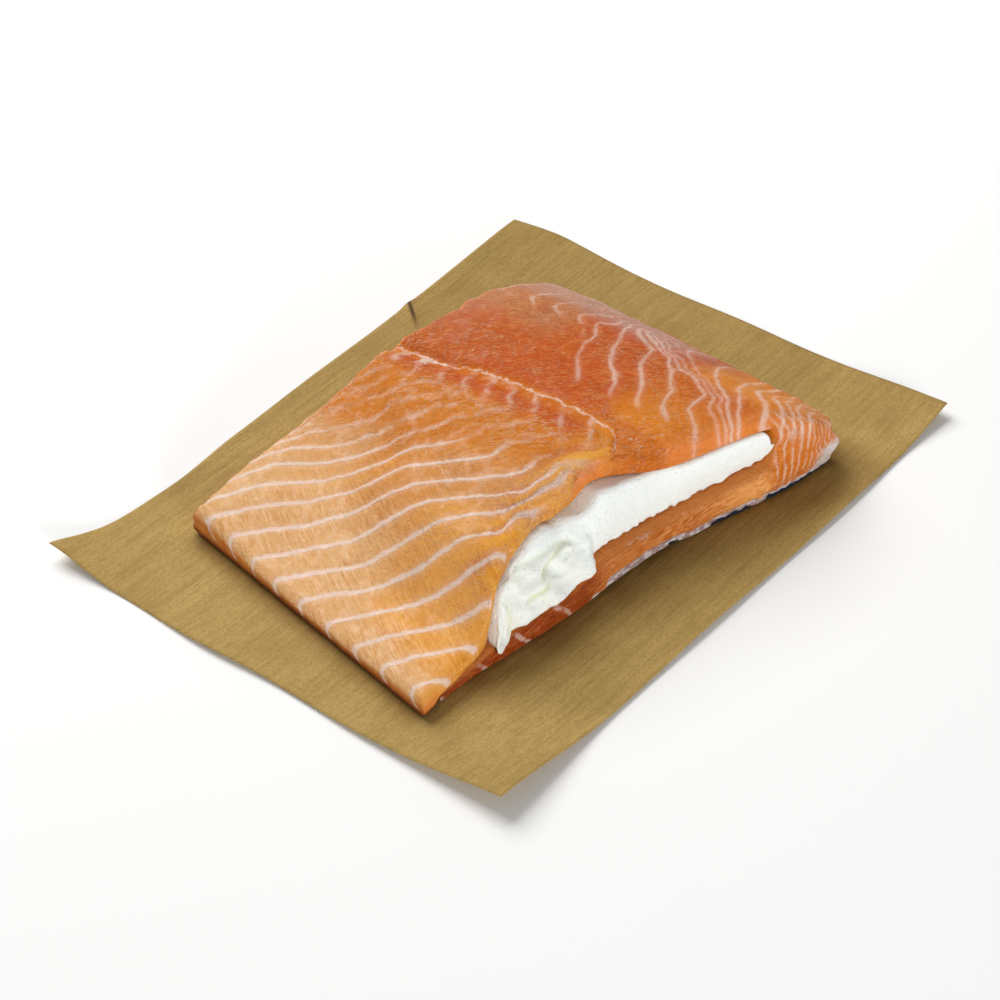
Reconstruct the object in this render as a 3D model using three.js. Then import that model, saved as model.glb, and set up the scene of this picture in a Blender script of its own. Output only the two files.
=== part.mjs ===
// A stuffed salmon parcel, in millimetres, Z up, standing on the underside of its paper.
// One salmon fillet is folded over at its thick edge round a slab of soft white cheese and lies on
// a sheet of brown kraft paper. The fillet is one solid: a lower leaf, a fold along the loin edge
// and an upper leaf that rises over the cheese and comes down on the paper at the belly edge.
import * as THREE from 'three';

// Sheet of paper: flat under the fish, with curled corners and wavy edges
const PAPER_LONG = 256;
const PAPER_WIDE = 200;
const PAPER_THICK = 0.4;
const EDGE_WAVE = 0.9;
const SIDE_LIFT = 0.9;
const SIDE_REACH = 17;
const PLEAT_HEIGHT = 0.8;
const PLEAT_X = 60.5;
const PLEAT_SLANT = 0.78;
const PLEAT_SPREAD = 3.5;
const PLEAT_REACH = 24;
const WAVY_SIDE = 14;
const WAVY_END = 12;
// Corners by the side they stand on, with how far each is lifted and how far in that reaches
const CORNERS = [
  { x: -1, y: 1, lift: 5.5, reach: 40 },
  { x: -1, y: -1, lift: 6.5, reach: 60 },
  { x: 1, y: -1, lift: 4.2, reach: 50 },
  { x: 1, y: 1, lift: 4.5, reach: 60 },
];
// The torn-off sheet's sides, not quite straight: place along each and place across
const LEFT_SIDE = [
  [-100, -78, -45, -3, 27, 64, 100],
  [-127.4, -127.8, -128, -126.6, -127.6, -125.8, -125.5],
];
const RIGHT_SIDE = [[-100, -60, 0, 40, 75, 100], [124.5, 126.8, 126.6, 127.4, 128, 124.5]];
const NEAR_SIDE = [[-128, -100, -20, 45, 128], [-100, -99.8, -99.4, -100, -98]];
const FAR_SIDE = [[-128, -104, -72, -40, 20, 58, 90, 128], [98.5, 94.6, 93, 95.6, 97.4, 99.2, 100, 99.6]];

// Where the fish lies on the paper: every length across and along is in the fish's own frame,
// x from the belly edge (left) to the loin edge (right), y from the cut front to the rear
const FISH_X = 4.5;
const FISH_Y = 4.5;
const FISH_Z = 0.7;

// Mesh divisions: along the fold, along the fish, through the leaf
const FILLET_GRID = [60, 24, 4];
const CHEESE_GRID = [32, 13, 5];
const PAPER_GRID = [32, 24];

// Shares of the fold taken by the leaf ends, the lower leaf and the fold at the loin edge
const TIP_SHARE = 2 / 60;
const LOWER_END = 21 / 60;
const UPPER_START = 32 / 60;
const CAP_SHARE = 3 / 24;

// Lines that run along the upper surface, read at four stations from front to rear
const STATIONS = [-60, -10, 20, 50];
const TOP_LINES = [
  { name: 'rim', x: [-115, -105.5, -99.8, -94.1], z: [8.5, 6.8, 7.2, 10.8] },
  { name: 'flank', x: [-101, -95, -83, -68], z: [10.5, 9, 11.5, 19.5] },
  { name: 'kink', x: [-87, -84, -66, -30], z: [14.5, 12, 17, 28] },
  { name: 'rise', x: [-70, -60, -42, -15], z: [36, 32, 31, 33] },
  { name: 'pillow', x: [-38, -30, -24, -9], z: [41, 41, 38.8, 35] },
  { name: 'seam', x: [-3, -3, -3, -3], z: [42, 41, 38.6, 35.4] },
  { name: 'crest', x: [25, 28, 30, 30], z: [41, 41, 40.8, 39.4] },
  { name: 'shoulder', x: [52, 55, 56, 56], z: [34, 37, 37.8, 36.2] },
];

// The white groove along the middle of the upper surface
const GROOVE_DEPTH = 1.8;
const GROOVE_WIDTH = 3.2;
// Soft swellings on its two sides
const SWELL_HEIGHT = 0.7;
const LEFT_SWELL = { x: -14, width: 7 };
const RIGHT_SWELL = { x: 8, width: 8 };
// From the last line the surface falls away to the loin edge
const FALL_ACROSS = 40;
const FALL_HEIGHT = 26;

// Fold at the loin edge
const FOLD_CENTRE_Z = 15;
const FOLD_BOTTOM_RADIUS = 6;
const POCKET_END_ROUNDNESS = 0.5;

// Leaf ends and clearances
const TIP_RADIUS = 1.6;
const RIM_RADIUS = 3.4;
const SLIT = 0.8;
const CLEAR = 0.45;
const LOWER_TIP_INSET = 9;
// Where the upper leaf steps down from the lower one onto the paper, from the lower one's end
const STEP_START = -4;
const STEP_WIDTH = 3.4;
// Radii of the leaves' front and rear edges, outside and pocket side
const LIP_RADIUS_LOIN = 8;
const LIP_RADIUS_BELLY = 3;
const SKIN_EDGE_RADIUS = 0.8;
const LEAF_EDGE_RADIUS = 3.2;
const ROOF_EDGE_RADIUS = 1.2;
const REAR_ROOM = 6;
const REAR_TOP_RADIUS = 4.5;
const REAR_FOOT_RADIUS = 1.5;
const REAR_LEAF_RADIUS = 2;
// How the lower leaf's cut front goes in and out over its height, and how far the lip bulges
const FRONT_PROFILE = [[0, 0.3, 0.6, 0.82, 1], [3.2, 0.3, -0.6, 0.9, 0.2]];
const FULL_LEAF = 11;
const LIP_BULGE = 4;
// The places of a point depend on each other, so they are worked out this many times over
const PASSES = 7;

const clamp = (v, lo, hi) => Math.min(hi, Math.max(lo, v));
const mix = (a, b, t) => a + (b - a) * t;
const smooth = (v) => {
  const t = clamp(v, 0, 1);
  return t * t * (3 - 2 * t);
};
const hump = (v, centre, width) => Math.exp(-(((v - centre) / width) ** 2));

// A smooth line through the points (xs, ys) with no overshoot, flat beyond its ends
function ladder(xs, ys, at) {
  const n = xs.length;
  const v = clamp(at, xs[0], xs[n - 1]);
  let k = 0;
  while (k < n - 2 && v > xs[k + 1]) k += 1;
  const rise = (i) => (ys[i + 1] - ys[i]) / (xs[i + 1] - xs[i]);
  const slope = (i) => {
    if (i === 0) return rise(0);
    if (i === n - 1) return rise(n - 2);
    const before = rise(i - 1);
    const after = rise(i);
    if (before * after <= 0) return 0;
    const wa = 2 * (xs[i + 1] - xs[i]) + (xs[i] - xs[i - 1]);
    const wb = (xs[i + 1] - xs[i]) + 2 * (xs[i] - xs[i - 1]);
    return (wa + wb) / (wa / before + wb / after);
  };
  const h = xs[k + 1] - xs[k];
  const t = (v - xs[k]) / h;
  const t2 = t * t;
  const t3 = t2 * t;
  return (2 * t3 - 3 * t2 + 1) * ys[k]
    + (t3 - 2 * t2 + t) * h * slope(k)
    + (3 * t2 - 2 * t3) * ys[k + 1]
    + (t3 - t2) * h * slope(k + 1);
}

// Plan lines of the fish
const rimX = (y) => -103.6 + 0.19 * y;
const loinX = (y) => ladder([-90, -78, -60, 0, 60], [72.5, 76.5, 79, 81, 79], y);
const pocketX = (y) => ladder([-80, 0, 60], [43.4, 43, 40], y);
const cheeseX = (y) => ladder([-60, -10, 20, 50], [-79, -76, -60, -24], y);
const footY = (x) => ladder(
  [-115, -90, -62, -37, -5, 13, 46, 60, 75],
  [-57, -58.5, -63, -66, -69, -73, -82, -85, -87.5],
  x,
);
const lipY = (x) => ladder(
  [-115, -84, -75, -64, -40, -18, -5, 7, 25, 48, 60],
  [-58, -57, -55, -53, -51, -53, -60, -66, -72.5, -79.5, -84],
  x,
);
const rearY = (x) => 64.5 - 0.17 * (x + 93) + 1.5 * hump(x, 4, 10) - 3.2 * smooth((x - 12) / 15)
  + 1.6 * smooth((x + 25) / 30) * Math.sin((x + 25) / 7.5) * smooth((72 - x) / 12);

const topLine = (name, y) => ladder(STATIONS, TOP_LINES.find((l) => l.name === name).x, y);

// Height of the upper surface at a place in plan, before its groove
function smoothTopZ(x, y) {
  const xs = TOP_LINES.map((l) => ladder(STATIONS, l.x, y));
  const zs = TOP_LINES.map((l) => ladder(STATIONS, l.z, y));
  const last = xs.length - 1;
  xs.push(xs[last] + FALL_ACROSS);
  zs.push(zs[last] - FALL_HEIGHT);
  return ladder(xs, zs, x);
}

// Height of the upper surface, with the groove and the soft swellings on its two sides
function topZ(x, y) {
  const groove = GROOVE_DEPTH * hump(x, topLine('seam', y), GROOVE_WIDTH);
  const swell = hump(x, LEFT_SWELL.x, LEFT_SWELL.width) + hump(x, RIGHT_SWELL.x, RIGHT_SWELL.width);
  return smoothTopZ(x, y) - groove + SWELL_HEIGHT * swell;
}

// Height of the lower leaf's upper side, on which the cheese lies
function floorZ(x, y) {
  const front = ladder(
    [-100, -88, -79, -67, -47, -35, -28, 0, 25, 46],
    [3.2, 5, 7, 10, 10.5, 13, 13.9, 12.4, 12.9, 14],
    x,
  );
  const rear = ladder([-96, -80, -60, -30, 0, 46], [3.2, 5.5, 9, 12, 13, 14], x);
  return mix(front, rear, smooth((y + 60) / 60));
}

// Height of the upper leaf's underside: on the paper at the belly edge, then on the lower leaf,
// then over the cheese
function roofZ(x, y) {
  const thick = ladder(
    [-110, -84, -64, -40, -20, -5, 10, 25, 44],
    [5.5, 7, 9.5, 9.5, 11, 12.6, 12.4, 11.6, 9],
    x,
  );
  const onLeaf = Math.max(floorZ(x, y) + SLIT, FISH_Z);
  const onPaper = clamp((x - (rimX(y) + LOWER_TIP_INSET + STEP_START)) / STEP_WIDTH, 0, 1);
  const rest = mix(FISH_Z, onLeaf, onPaper);
  const overCheese = smooth((x - cheeseX(y) + 5) / 10);
  return mix(rest, Math.max(smoothTopZ(x, y) - thick, rest), overCheese);
}

// Place across the upper leaf, from the pocket's end (0) to the belly edge (1)
function upperX(t, y) {
  const knots = [pocketX(y), 25, 5, topLine('seam', y), -9];
  knots.push(Math.min(topLine('rise', y), -16), topLine('kink', y));
  const lowerEnd = rimX(y) + LOWER_TIP_INSET;
  knots.push(lowerEnd + 1, lowerEnd + STEP_START, rimX(y) + RIM_RADIUS);
  const shares = [0, 0.15, 0.27, 0.31, 0.35, 0.54, 0.69, 0.885, 0.962, 1];
  let k = 0;
  while (k < shares.length - 2 && t > shares[k + 1]) k += 1;
  return mix(knots[k], knots[k + 1], clamp((t - shares[k]) / (shares[k + 1] - shares[k]), 0, 1));
}

// Section across the fish at a place y: the point on the pocket side and the point on the
// outside for a share of the way along the fold
function section(share, y) {
  if (share <= LOWER_END) {
    const end = rimX(y) + LOWER_TIP_INSET;
    const t = clamp((share - TIP_SHARE) / (LOWER_END - TIP_SHARE), 0, 1);
    const turn = clamp(share / TIP_SHARE, 0, 1) * Math.PI / 2;
    const x = share < TIP_SHARE
      ? end + TIP_RADIUS * (1 - Math.cos(turn))
      : mix(end + TIP_RADIUS, pocketX(y), t);
    return { inner: [x, floorZ(x, y)], outer: [x, FISH_Z], up: 0 };
  }
  if (share >= UPPER_START) {
    const t = clamp((share - UPPER_START) / (1 - TIP_SHARE - UPPER_START), 0, 1);
    const turn = clamp((1 - share) / TIP_SHARE, 0, 1) * Math.PI / 2;
    const x = share > 1 - TIP_SHARE ? rimX(y) + RIM_RADIUS * (1 - Math.cos(turn)) : upperX(t, y);
    return { inner: [x, roofZ(x, y)], outer: [x, topZ(x, y)], up: 1 };
  }
  const t = (share - LOWER_END) / (UPPER_START - LOWER_END);
  const start = pocketX(y);
  const edge = loinX(y);
  const low = floorZ(start, y);
  const high = roofZ(start, y);
  const angle = mix(-Math.PI / 2, Math.PI / 2, t);
  const half = (high - low) / 2;
  const inner = [
    start + half * POCKET_END_ROUNDNESS * Math.cos(angle),
    low + half + half * Math.sin(angle),
  ];
  const r = FOLD_BOTTOM_RADIUS;
  if (t < 0.5) {
    const flat = edge - r - start;
    const bend = r * Math.PI / 2;
    const wall = FOLD_CENTRE_Z - FISH_Z - r;
    const way = (t / 0.5) * (flat + bend + wall);
    const turn = clamp((way - flat) / bend, 0, 1) * Math.PI / 2;
    const x = start + clamp(way, 0, flat) + r * Math.sin(turn);
    const z = FISH_Z + r * (1 - Math.cos(turn)) + Math.max(way - flat - bend, 0);
    return { inner, outer: [x, z], up: smooth(t) };
  }
  const turn = clamp((t - 0.5) / 0.5, 0, 1) * Math.PI / 2;
  const x = start + (edge - start) * Math.cos(turn);
  const z = FOLD_CENTRE_Z + (topZ(x, y) - FOLD_CENTRE_Z) * Math.sin(turn) ** 0.9;
  return { inner, outer: [x, z], up: smooth(t) };
}

// A point of the fillet: share along the fold, share from front to rear, share outwards
function filletPoint(share, along, out) {
  const frontTurn = clamp(along / CAP_SHARE, 0, 1) * Math.PI / 2;
  const rearTurn = clamp((1 - along) / CAP_SHARE, 0, 1) * Math.PI / 2;
  const body = clamp((along - CAP_SHARE) / (1 - 2 * CAP_SHARE), 0, 1);
  const isLower = share <= LOWER_END;
  const isUpper = share >= UPPER_START;
  const tipTurn = (isLower ? clamp(share / TIP_SHARE, 0, 1) : clamp((1 - share) / TIP_SHARE, 0, 1))
    * Math.PI / 2;
  const fromTip = (isLower ? share : 1 - share) / (3 * TIP_SHARE);
  const room = isLower || isUpper ? mix(0.8, 0.4, smooth(1.2 - fromTip)) : 0.8;
  let y = mix(-65, 50, body);
  let x = 0;
  let z = 0;
  for (let pass = 0; pass < PASSES; pass += 1) {
    const { inner, outer, up } = section(share, y);
    const thick = Math.hypot(outer[0] - inner[0], outer[1] - inner[1]);
    const left = smooth((-8 - x) / 20);
    const lipRadius = isUpper ? mix(LIP_RADIUS_LOIN, LIP_RADIUS_BELLY, left) : LIP_RADIUS_LOIN;
    const outsideRadius = mix(SKIN_EDGE_RADIUS, lipRadius, up);
    const insideRadius = mix(LEAF_EDGE_RADIUS, ROOF_EDGE_RADIUS, up);
    const fit = Math.min(1, (room * thick) / (outsideRadius + insideRadius));
    const ro = outsideRadius * fit;
    const ri = insideRadius * fit;
    const rearFit = Math.min(1, (room * thick) / REAR_ROOM);
    const ero = mix(REAR_FOOT_RADIUS, REAR_TOP_RADIUS, up) * rearFit;
    const eri = mix(REAR_LEAF_RADIUS, ROOF_EDGE_RADIUS, up) * rearFit;
    const open = isLower || isUpper ? 1 - Math.sin(tipTurn) : 0;
    const tip = Math.min(TIP_RADIUS, 0.22 * thick) * open;
    const rim = isUpper ? Math.min(RIM_RADIUS, 0.42 * thick) * open : tip;
    let cutOut = ro * (1 - Math.sin(frontTurn)) + ero * (1 - Math.sin(rearTurn)) + rim;
    let cutIn = ri * (1 - Math.sin(frontTurn)) + eri * (1 - Math.sin(rearTurn)) + tip;
    const keep = Math.min(1, (0.9 * thick) / Math.max(cutOut + cutIn, 1e-6));
    cutOut *= keep;
    cutIn *= keep;
    const depth = mix(cutIn / thick, 1 - cutOut / thick, out);
    x = mix(inner[0], outer[0], depth);
    z = mix(inner[1], outer[1], depth);
    const foot = footY(x) + ladder(...FRONT_PROFILE, depth) * Math.min(1, thick / FULL_LEAF);
    const lip = lipY(x) - LIP_BULGE * depth * (1 - depth);
    const front = mix(foot, lip, up);
    const rear = rearY(x) + mix(1, 0, up);
    const rf = mix(ri, ro, depth);
    const rr = mix(eri, ero, depth);
    if (along < CAP_SHARE) {
      y = front + rf * (1 - Math.cos(frontTurn));
    } else if (along > 1 - CAP_SHARE) {
      y = rear - rr * (1 - Math.cos(rearTurn));
    } else {
      y = mix(front + rf, rear - rr, body);
    }
  }
  return [x, y, z];
}

// Cheese: shares of its length and depth taken by the rounded ends, and the ends' radii
const CHEESE_TIP_SHARE = 2 / 32;
const CHEESE_CAP_SHARE = 2 / 13;
const CHEESE_LEFT_RADIUS = 1.5;
const CHEESE_TOP_RADIUS = 2.4;
const CHEESE_LOW_RADIUS = 1.2;
const CHEESE_BULGE = 2.4;
const CHEESE_REAR_INSET = 3.5;
const CHEESE_LEAST = 1.2;
const FULL_CHEESE = 9;

// Front of the cheese at its foot: level with the smooth cut face, then out over the lower leaf
// where the crumbled lump hangs
const cheeseFootY = (x) => footY(x) + mix(-0.6, 5.3, smooth((x + 37) / 7));
const cheeseTopY = (x) => {
  const open = footY(x) + 8;
  const lump = lipY(x) - 2.2;
  const right = lipY(x) - 0.6;
  const middle = mix(open, right, smooth((x - 2) / 8));
  return mix(lump, middle, smooth((x + 40) / 12));
};
const lumpBumps = (x, c) => smooth((-30 - x) / 6) * (
  1.3 * Math.sin(x / 3.1 + 4 * c) * Math.sin(3.5 * c + x / 9)
  + 0.9 * hump(c, 0.45, 0.25) * Math.sin(x / 5.3 + 1)
);

// A point of the cheese: share from belly side to loin side, front to rear, bottom to top
function cheesePoint(across, along, up) {
  const tipShare = CHEESE_TIP_SHARE;
  const capShare = CHEESE_CAP_SHARE;
  const leftTurn = clamp(across / tipShare, 0, 1) * Math.PI / 2;
  const rightTurn = clamp((1 - across) / tipShare, 0, 1) * Math.PI / 2;
  const frontTurn = clamp(along / capShare, 0, 1) * Math.PI / 2;
  const rearTurn = clamp((1 - along) / capShare, 0, 1) * Math.PI / 2;
  const body = clamp((along - capShare) / (1 - 2 * capShare), 0, 1);
  const t = clamp((across - tipShare) / (1 - 2 * tipShare), 0, 1);
  let y = mix(-60, 45, body);
  let x = 0;
  let z = 0;
  for (let pass = 0; pass < PASSES; pass += 1) {
    const leftEnd = cheeseX(y) + 2.4 - 3.5 * smooth((-48 - y) / 10) + 1.6 * smooth((y - 20) / 25);
    const start = pocketX(y);
    const low0 = floorZ(start, y) + CLEAR;
    const high0 = roofZ(start, y) - CLEAR;
    const half0 = (high0 - low0) / 2;
    const leftRadius = CHEESE_LEFT_RADIUS;
    if (across < tipShare) {
      x = leftEnd + leftRadius * (1 - Math.cos(leftTurn));
    } else if (across > 1 - tipShare) {
      x = start + half0 * POCKET_END_ROUNDNESS * Math.cos(rightTurn);
    } else {
      x = mix(leftEnd + leftRadius, start, t);
    }
    const inside = Math.min(x, start);
    const roofY = Math.max(y, lipY(inside) + 0.5);
    const extra = 0.7 * smooth((-50 - x) / 12);
    const low = floorZ(inside, y) + CLEAR;
    let high = roofZ(inside, roofY) - CLEAR - extra;
    if (high - low < CHEESE_LEAST) high = low + CHEESE_LEAST;
    const thick = high - low;
    const tipCut = across > 1 - tipShare
      ? (thick / 2) * (1 - Math.sin(rightTurn)) * 0.985
      : Math.min(leftRadius, 0.15 * thick) * (1 - Math.sin(leftTurn));
    const topRadius = Math.min(CHEESE_TOP_RADIUS, 0.3 * thick);
    const lowRadius = Math.min(CHEESE_LOW_RADIUS, 0.15 * thick);
    const endCut = (turn, r) => r * (1 - Math.sin(turn));
    const room = 0.47 * thick;
    const lowCut = tipCut + endCut(frontTurn, lowRadius) + endCut(rearTurn, lowRadius);
    const topCut = tipCut + endCut(frontTurn, topRadius) + endCut(rearTurn, topRadius);
    const height = mix(Math.min(room, lowCut), thick - Math.min(room, topCut), up);
    z = low + height;
    const h = height / thick;
    const full = Math.min(1, thick / FULL_CHEESE);
    const bulge = CHEESE_BULGE * h * (1 - h) + lumpBumps(x, h);
    const front = mix(cheeseFootY(x), cheeseTopY(x), h * full) - full * bulge;
    const rear = rearY(x) - CHEESE_REAR_INSET;
    const rf = mix(lowRadius, topRadius, h);
    if (along < capShare) {
      y = front + rf * (1 - Math.cos(frontTurn));
    } else if (along > 1 - capShare) {
      y = rear - rf * (1 - Math.cos(rearTurn));
    } else {
      y = mix(front + rf, rear - rf, body);
    }
  }
  return [x, y, z];
}

// A closed block cut into a grid, each point moved to its place
function gridSolid(divisions, place) {
  const [na, nb, nc] = divisions;
  const geometry = new THREE.BoxGeometry(1, 1, 1, na, nb, nc);
  const position = geometry.attributes.position;
  for (let i = 0; i < position.count; i += 1) {
    const a = Math.round((position.getX(i) + 0.5) * na) / na;
    const b = Math.round((position.getY(i) + 0.5) * nb) / nb;
    const c = Math.round((position.getZ(i) + 0.5) * nc) / nc;
    const [x, y, z] = place(a, b, c);
    position.setXYZ(i, x, y, z);
  }
  geometry.deleteAttribute('uv');
  geometry.computeVertexNormals();
  return geometry;
}

// The paper's height: flat under the fish, curled at the corners, wavy along the sides, and
// gathered in one small pleat on the far side
function paperZ(x, y) {
  const hx = PAPER_LONG / 2;
  const hy = PAPER_WIDE / 2;
  let z = 0;
  for (const corner of CORNERS) {
    const away = Math.hypot(x - corner.x * hx, y - corner.y * hy) / corner.reach;
    z += corner.lift * smooth(1 - away) ** 1.5;
  }
  const side = smooth((Math.abs(x) - (hx - WAVY_SIDE)) / WAVY_SIDE);
  const end = smooth((Math.abs(y) - (hy - WAVY_END)) / WAVY_END);
  const fromSide = Math.min(x + hx, y + hy) / SIDE_REACH;
  z += SIDE_LIFT * smooth(1 - fromSide) * smooth((hx - 20 - x) / 60) * smooth((hy - 20 - y) / 60);
  z += EDGE_WAVE * side * (0.5 + 0.5 * Math.sin(y / 11 + (x > 0 ? 2 : 0)));
  z += EDGE_WAVE * end * (0.5 + 0.5 * Math.sin(x / 13 + (y > 0 ? 1 : 3)));
  const pleat = hump(x - PLEAT_SLANT * (y - hy), PLEAT_X, PLEAT_SPREAD);
  return z + PLEAT_HEIGHT * pleat * smooth((y - (hy - PLEAT_REACH)) / PLEAT_REACH);
}

function paperPoint(a, b, c) {
  const alongX = PAPER_LONG * (a - 0.5);
  const alongY = PAPER_WIDE * (b - 0.5);
  const x = mix(ladder(...LEFT_SIDE, alongY), ladder(...RIGHT_SIDE, alongY), a);
  const y = mix(ladder(...NEAR_SIDE, alongX), ladder(...FAR_SIDE, alongX), b);
  return [x, y, paperZ(x, y) + mix(0, PAPER_THICK, c)];
}

function part(name, geometry, finish) {
  const mesh = new THREE.Mesh(geometry, new THREE.MeshStandardMaterial(finish));
  mesh.name = name;
  return mesh;
}

const FLESH = { color: 0xd88a50, roughness: 0.35, metalness: 0 };
const CHEESE = { color: 0xecefe6, roughness: 0.5, metalness: 0 };
const KRAFT = { color: 0xab8c4f, roughness: 0.8, metalness: 0 };

const fish = new THREE.Group();
fish.position.set(FISH_X, FISH_Y, 0);
const filletShape = gridSolid(FILLET_GRID, (a, b, c) => filletPoint(a, 1 - b, c));
fish.add(part('salmon_fillet', filletShape, FLESH));
fish.add(part('cheese_filling', gridSolid(CHEESE_GRID, cheesePoint), CHEESE));
const parcel = new THREE.Group();
parcel.add(fish);
parcel.add(part('paper_sheet', gridSolid([...PAPER_GRID, 1], paperPoint), KRAFT));
export default parcel;
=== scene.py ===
"""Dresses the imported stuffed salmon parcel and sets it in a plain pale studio.

A raw salmon fillet is folded over a slab of soft white cheese and lies on brown kraft paper.
The forms are the ones of the part's source, worked out on finer grids, with the low relief,
colours and gloss of the real thing added. Sizes are in millimetres in the fish's own frame
until a mesh is written, which is in metres in the part's frame.
"""
import logging
import math
from dataclasses import dataclass, field
from enum import Enum
from typing import Callable, Sequence

import bmesh
import bpy
import numpy as np
from mathutils import Matrix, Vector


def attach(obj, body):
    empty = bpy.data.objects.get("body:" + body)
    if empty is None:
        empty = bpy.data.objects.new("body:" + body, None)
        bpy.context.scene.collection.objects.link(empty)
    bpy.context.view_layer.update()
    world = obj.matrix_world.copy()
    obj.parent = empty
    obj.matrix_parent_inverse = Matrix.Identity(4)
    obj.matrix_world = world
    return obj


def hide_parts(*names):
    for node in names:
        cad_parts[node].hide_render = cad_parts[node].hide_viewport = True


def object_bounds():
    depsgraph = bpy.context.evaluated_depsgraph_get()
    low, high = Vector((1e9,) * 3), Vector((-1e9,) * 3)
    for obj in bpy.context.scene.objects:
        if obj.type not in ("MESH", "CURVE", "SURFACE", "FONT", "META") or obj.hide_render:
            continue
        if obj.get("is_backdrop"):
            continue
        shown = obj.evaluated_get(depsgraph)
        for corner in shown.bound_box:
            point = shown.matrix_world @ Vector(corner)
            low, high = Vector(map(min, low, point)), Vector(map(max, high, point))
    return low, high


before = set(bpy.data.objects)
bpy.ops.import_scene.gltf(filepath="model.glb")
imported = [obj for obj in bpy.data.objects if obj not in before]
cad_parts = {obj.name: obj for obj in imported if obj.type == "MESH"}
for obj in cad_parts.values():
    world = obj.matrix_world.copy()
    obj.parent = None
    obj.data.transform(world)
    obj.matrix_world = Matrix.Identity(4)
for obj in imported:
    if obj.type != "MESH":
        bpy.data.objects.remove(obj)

Array = np.ndarray
Rgb = tuple[float, float, float]

LOG = logging.getLogger("parcel")
METRE = 0.001
QUARTER = math.pi / 2

# How far the fish's frame lies from the part's, and how high the fish's underside lies
FISH_SHIFT = (4.5, 4.5)
FISH_Z = 0.7

# Rounds in which a point's place and the cut edge beside it settle
SETTLING = 7

# Light that falls on level surfaces and on the cut front, where white paint in full light is 1
TOP_LIGHT = 1.12
FRONT_LIGHT = 0.9

# What the pale sheen adds to wet flesh, and the darkest colour that is left under it
SHEEN = (0.008, 0.024, 0.028)
DARKEST = 0.012

# Large odd numbers that scatter the noise's cells
SCATTER = (73856093, 19349663, 83492791)
SEED_SCATTER = 1299709
CODE_SCATTER = 1274126177
CODE_RANGE = 0xFFFF


# Numbers along lines


def mix(a: Array | float, b: Array | float, t: Array | float) -> Array:
    """Goes from a to b as t goes from 0 to 1."""
    return a + (b - a) * t


def smooth(t: Array | float) -> Array:
    """Eases from 0 to 1 as t goes from 0 to 1."""
    t = np.clip(t, 0.0, 1.0)
    return t * t * (3.0 - 2.0 * t)


def band(v: Array, low: float, high: float, soft: float) -> Array:
    """Is 1 between low and high and falls to 0 over soft on both sides."""
    return smooth((v - low) / soft + 0.5) * smooth((high - v) / soft + 0.5)


def hump(v: Array, centre: Array | float, width: Array | float) -> Array:
    """Is a soft bump of height 1 round centre."""
    return np.exp(-(((v - centre) / width) ** 2))


def quarter_round(t: Array) -> tuple[Array, Array]:
    """Follows a quarter circle as t goes from 0 to 1, and stays at its ends beyond.

    Args:
        t: Share of the way round.

    Returns:
        A share that falls from 1 to 0, steepest at first, and one that rises from 0 to 1,
        steepest at last.
    """
    turn = np.clip(t, 0, 1) * QUARTER
    return 1 - np.sin(turn), 1 - np.cos(turn)


def ladder(xs: Sequence, ys: Sequence, at: Array | float) -> Array:
    """Runs a smooth line with no overshoot through points, flat beyond its ends.

    Args:
        xs: Rising places of the points, numbers or arrays.
        ys: Values at the points, numbers or arrays.
        at: Places to read.

    Returns:
        The values at the places.
    """
    at = np.asarray(at, float)
    xs = [np.asarray(x, float) for x in xs]
    ys = [np.asarray(y, float) for y in ys]
    steps = [b - a for a, b in zip(xs, xs[1:])]
    rises = [(b - a) / h for a, b, h in zip(ys, ys[1:], steps)]
    slopes = [rises[0]]
    for k in range(1, len(rises)):
        before, after = rises[k - 1], rises[k]
        wa = 2 * steps[k] + steps[k - 1]
        wb = steps[k] + 2 * steps[k - 1]
        with np.errstate(divide="ignore", invalid="ignore"):
            slope = (wa + wb) / (wa / before + wb / after)
        slopes.append(np.where(before * after > 0, slope, 0.0))
    slopes.append(rises[-1])
    v = np.clip(at, xs[0], xs[-1])
    value = ys[0] + 0.0 * v
    for k, h in enumerate(steps):
        t = np.clip((v - xs[k]) / h, 0.0, 1.0)
        t2, t3 = t * t, t * t * t
        piece = (
            (2 * t3 - 3 * t2 + 1) * ys[k]
            + (t3 - 2 * t2 + t) * h * slopes[k]
            + (3 * t2 - 2 * t3) * ys[k + 1]
            + (t3 - t2) * h * slopes[k + 1]
        )
        value = np.where(v >= xs[k], piece, value)
    return value


def grain(points: Array, size: float | tuple[float, float, float], seed: int) -> Array:
    """Gives smooth value noise between -1 and 1.

    Args:
        points: Places, one row each.
        size: Size of one swelling, the same or one along each axis.
        seed: Picks the pattern.

    Returns:
        One number for each place.
    """
    p = points / np.asarray(size, float) + 17.31 * seed
    cell = np.floor(p).astype(np.int64)
    part = smooth(p - cell)
    total = np.zeros(len(p))
    for corner in range(8):
        step = np.array([(corner >> axis) & 1 for axis in range(3)])
        at = cell + step
        code = np.bitwise_xor.reduce(at * np.array(SCATTER), axis=1) ^ seed * SEED_SCATTER
        code = (code ^ (code >> 13)) * CODE_SCATTER
        code = (code ^ (code >> 16)) & CODE_RANGE
        weight = np.prod(np.where(step == 1, part, 1.0 - part), axis=1)
        total += weight * (code / (CODE_RANGE / 2) - 1.0)
    return total


def layered(points: Array, size: float, seed: int) -> Array:
    """Adds three sizes of noise, each half as big and half as strong as the last.

    Args:
        points: Places, one row each.
        size: Size of one of the largest swellings.
        seed: Picks the pattern.

    Returns:
        One number for each place.
    """
    return (
        grain(points, size, seed)
        + 0.5 * grain(points, size / 2, seed + 1)
        + 0.25 * grain(points, size / 4, seed + 2)
    )


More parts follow.
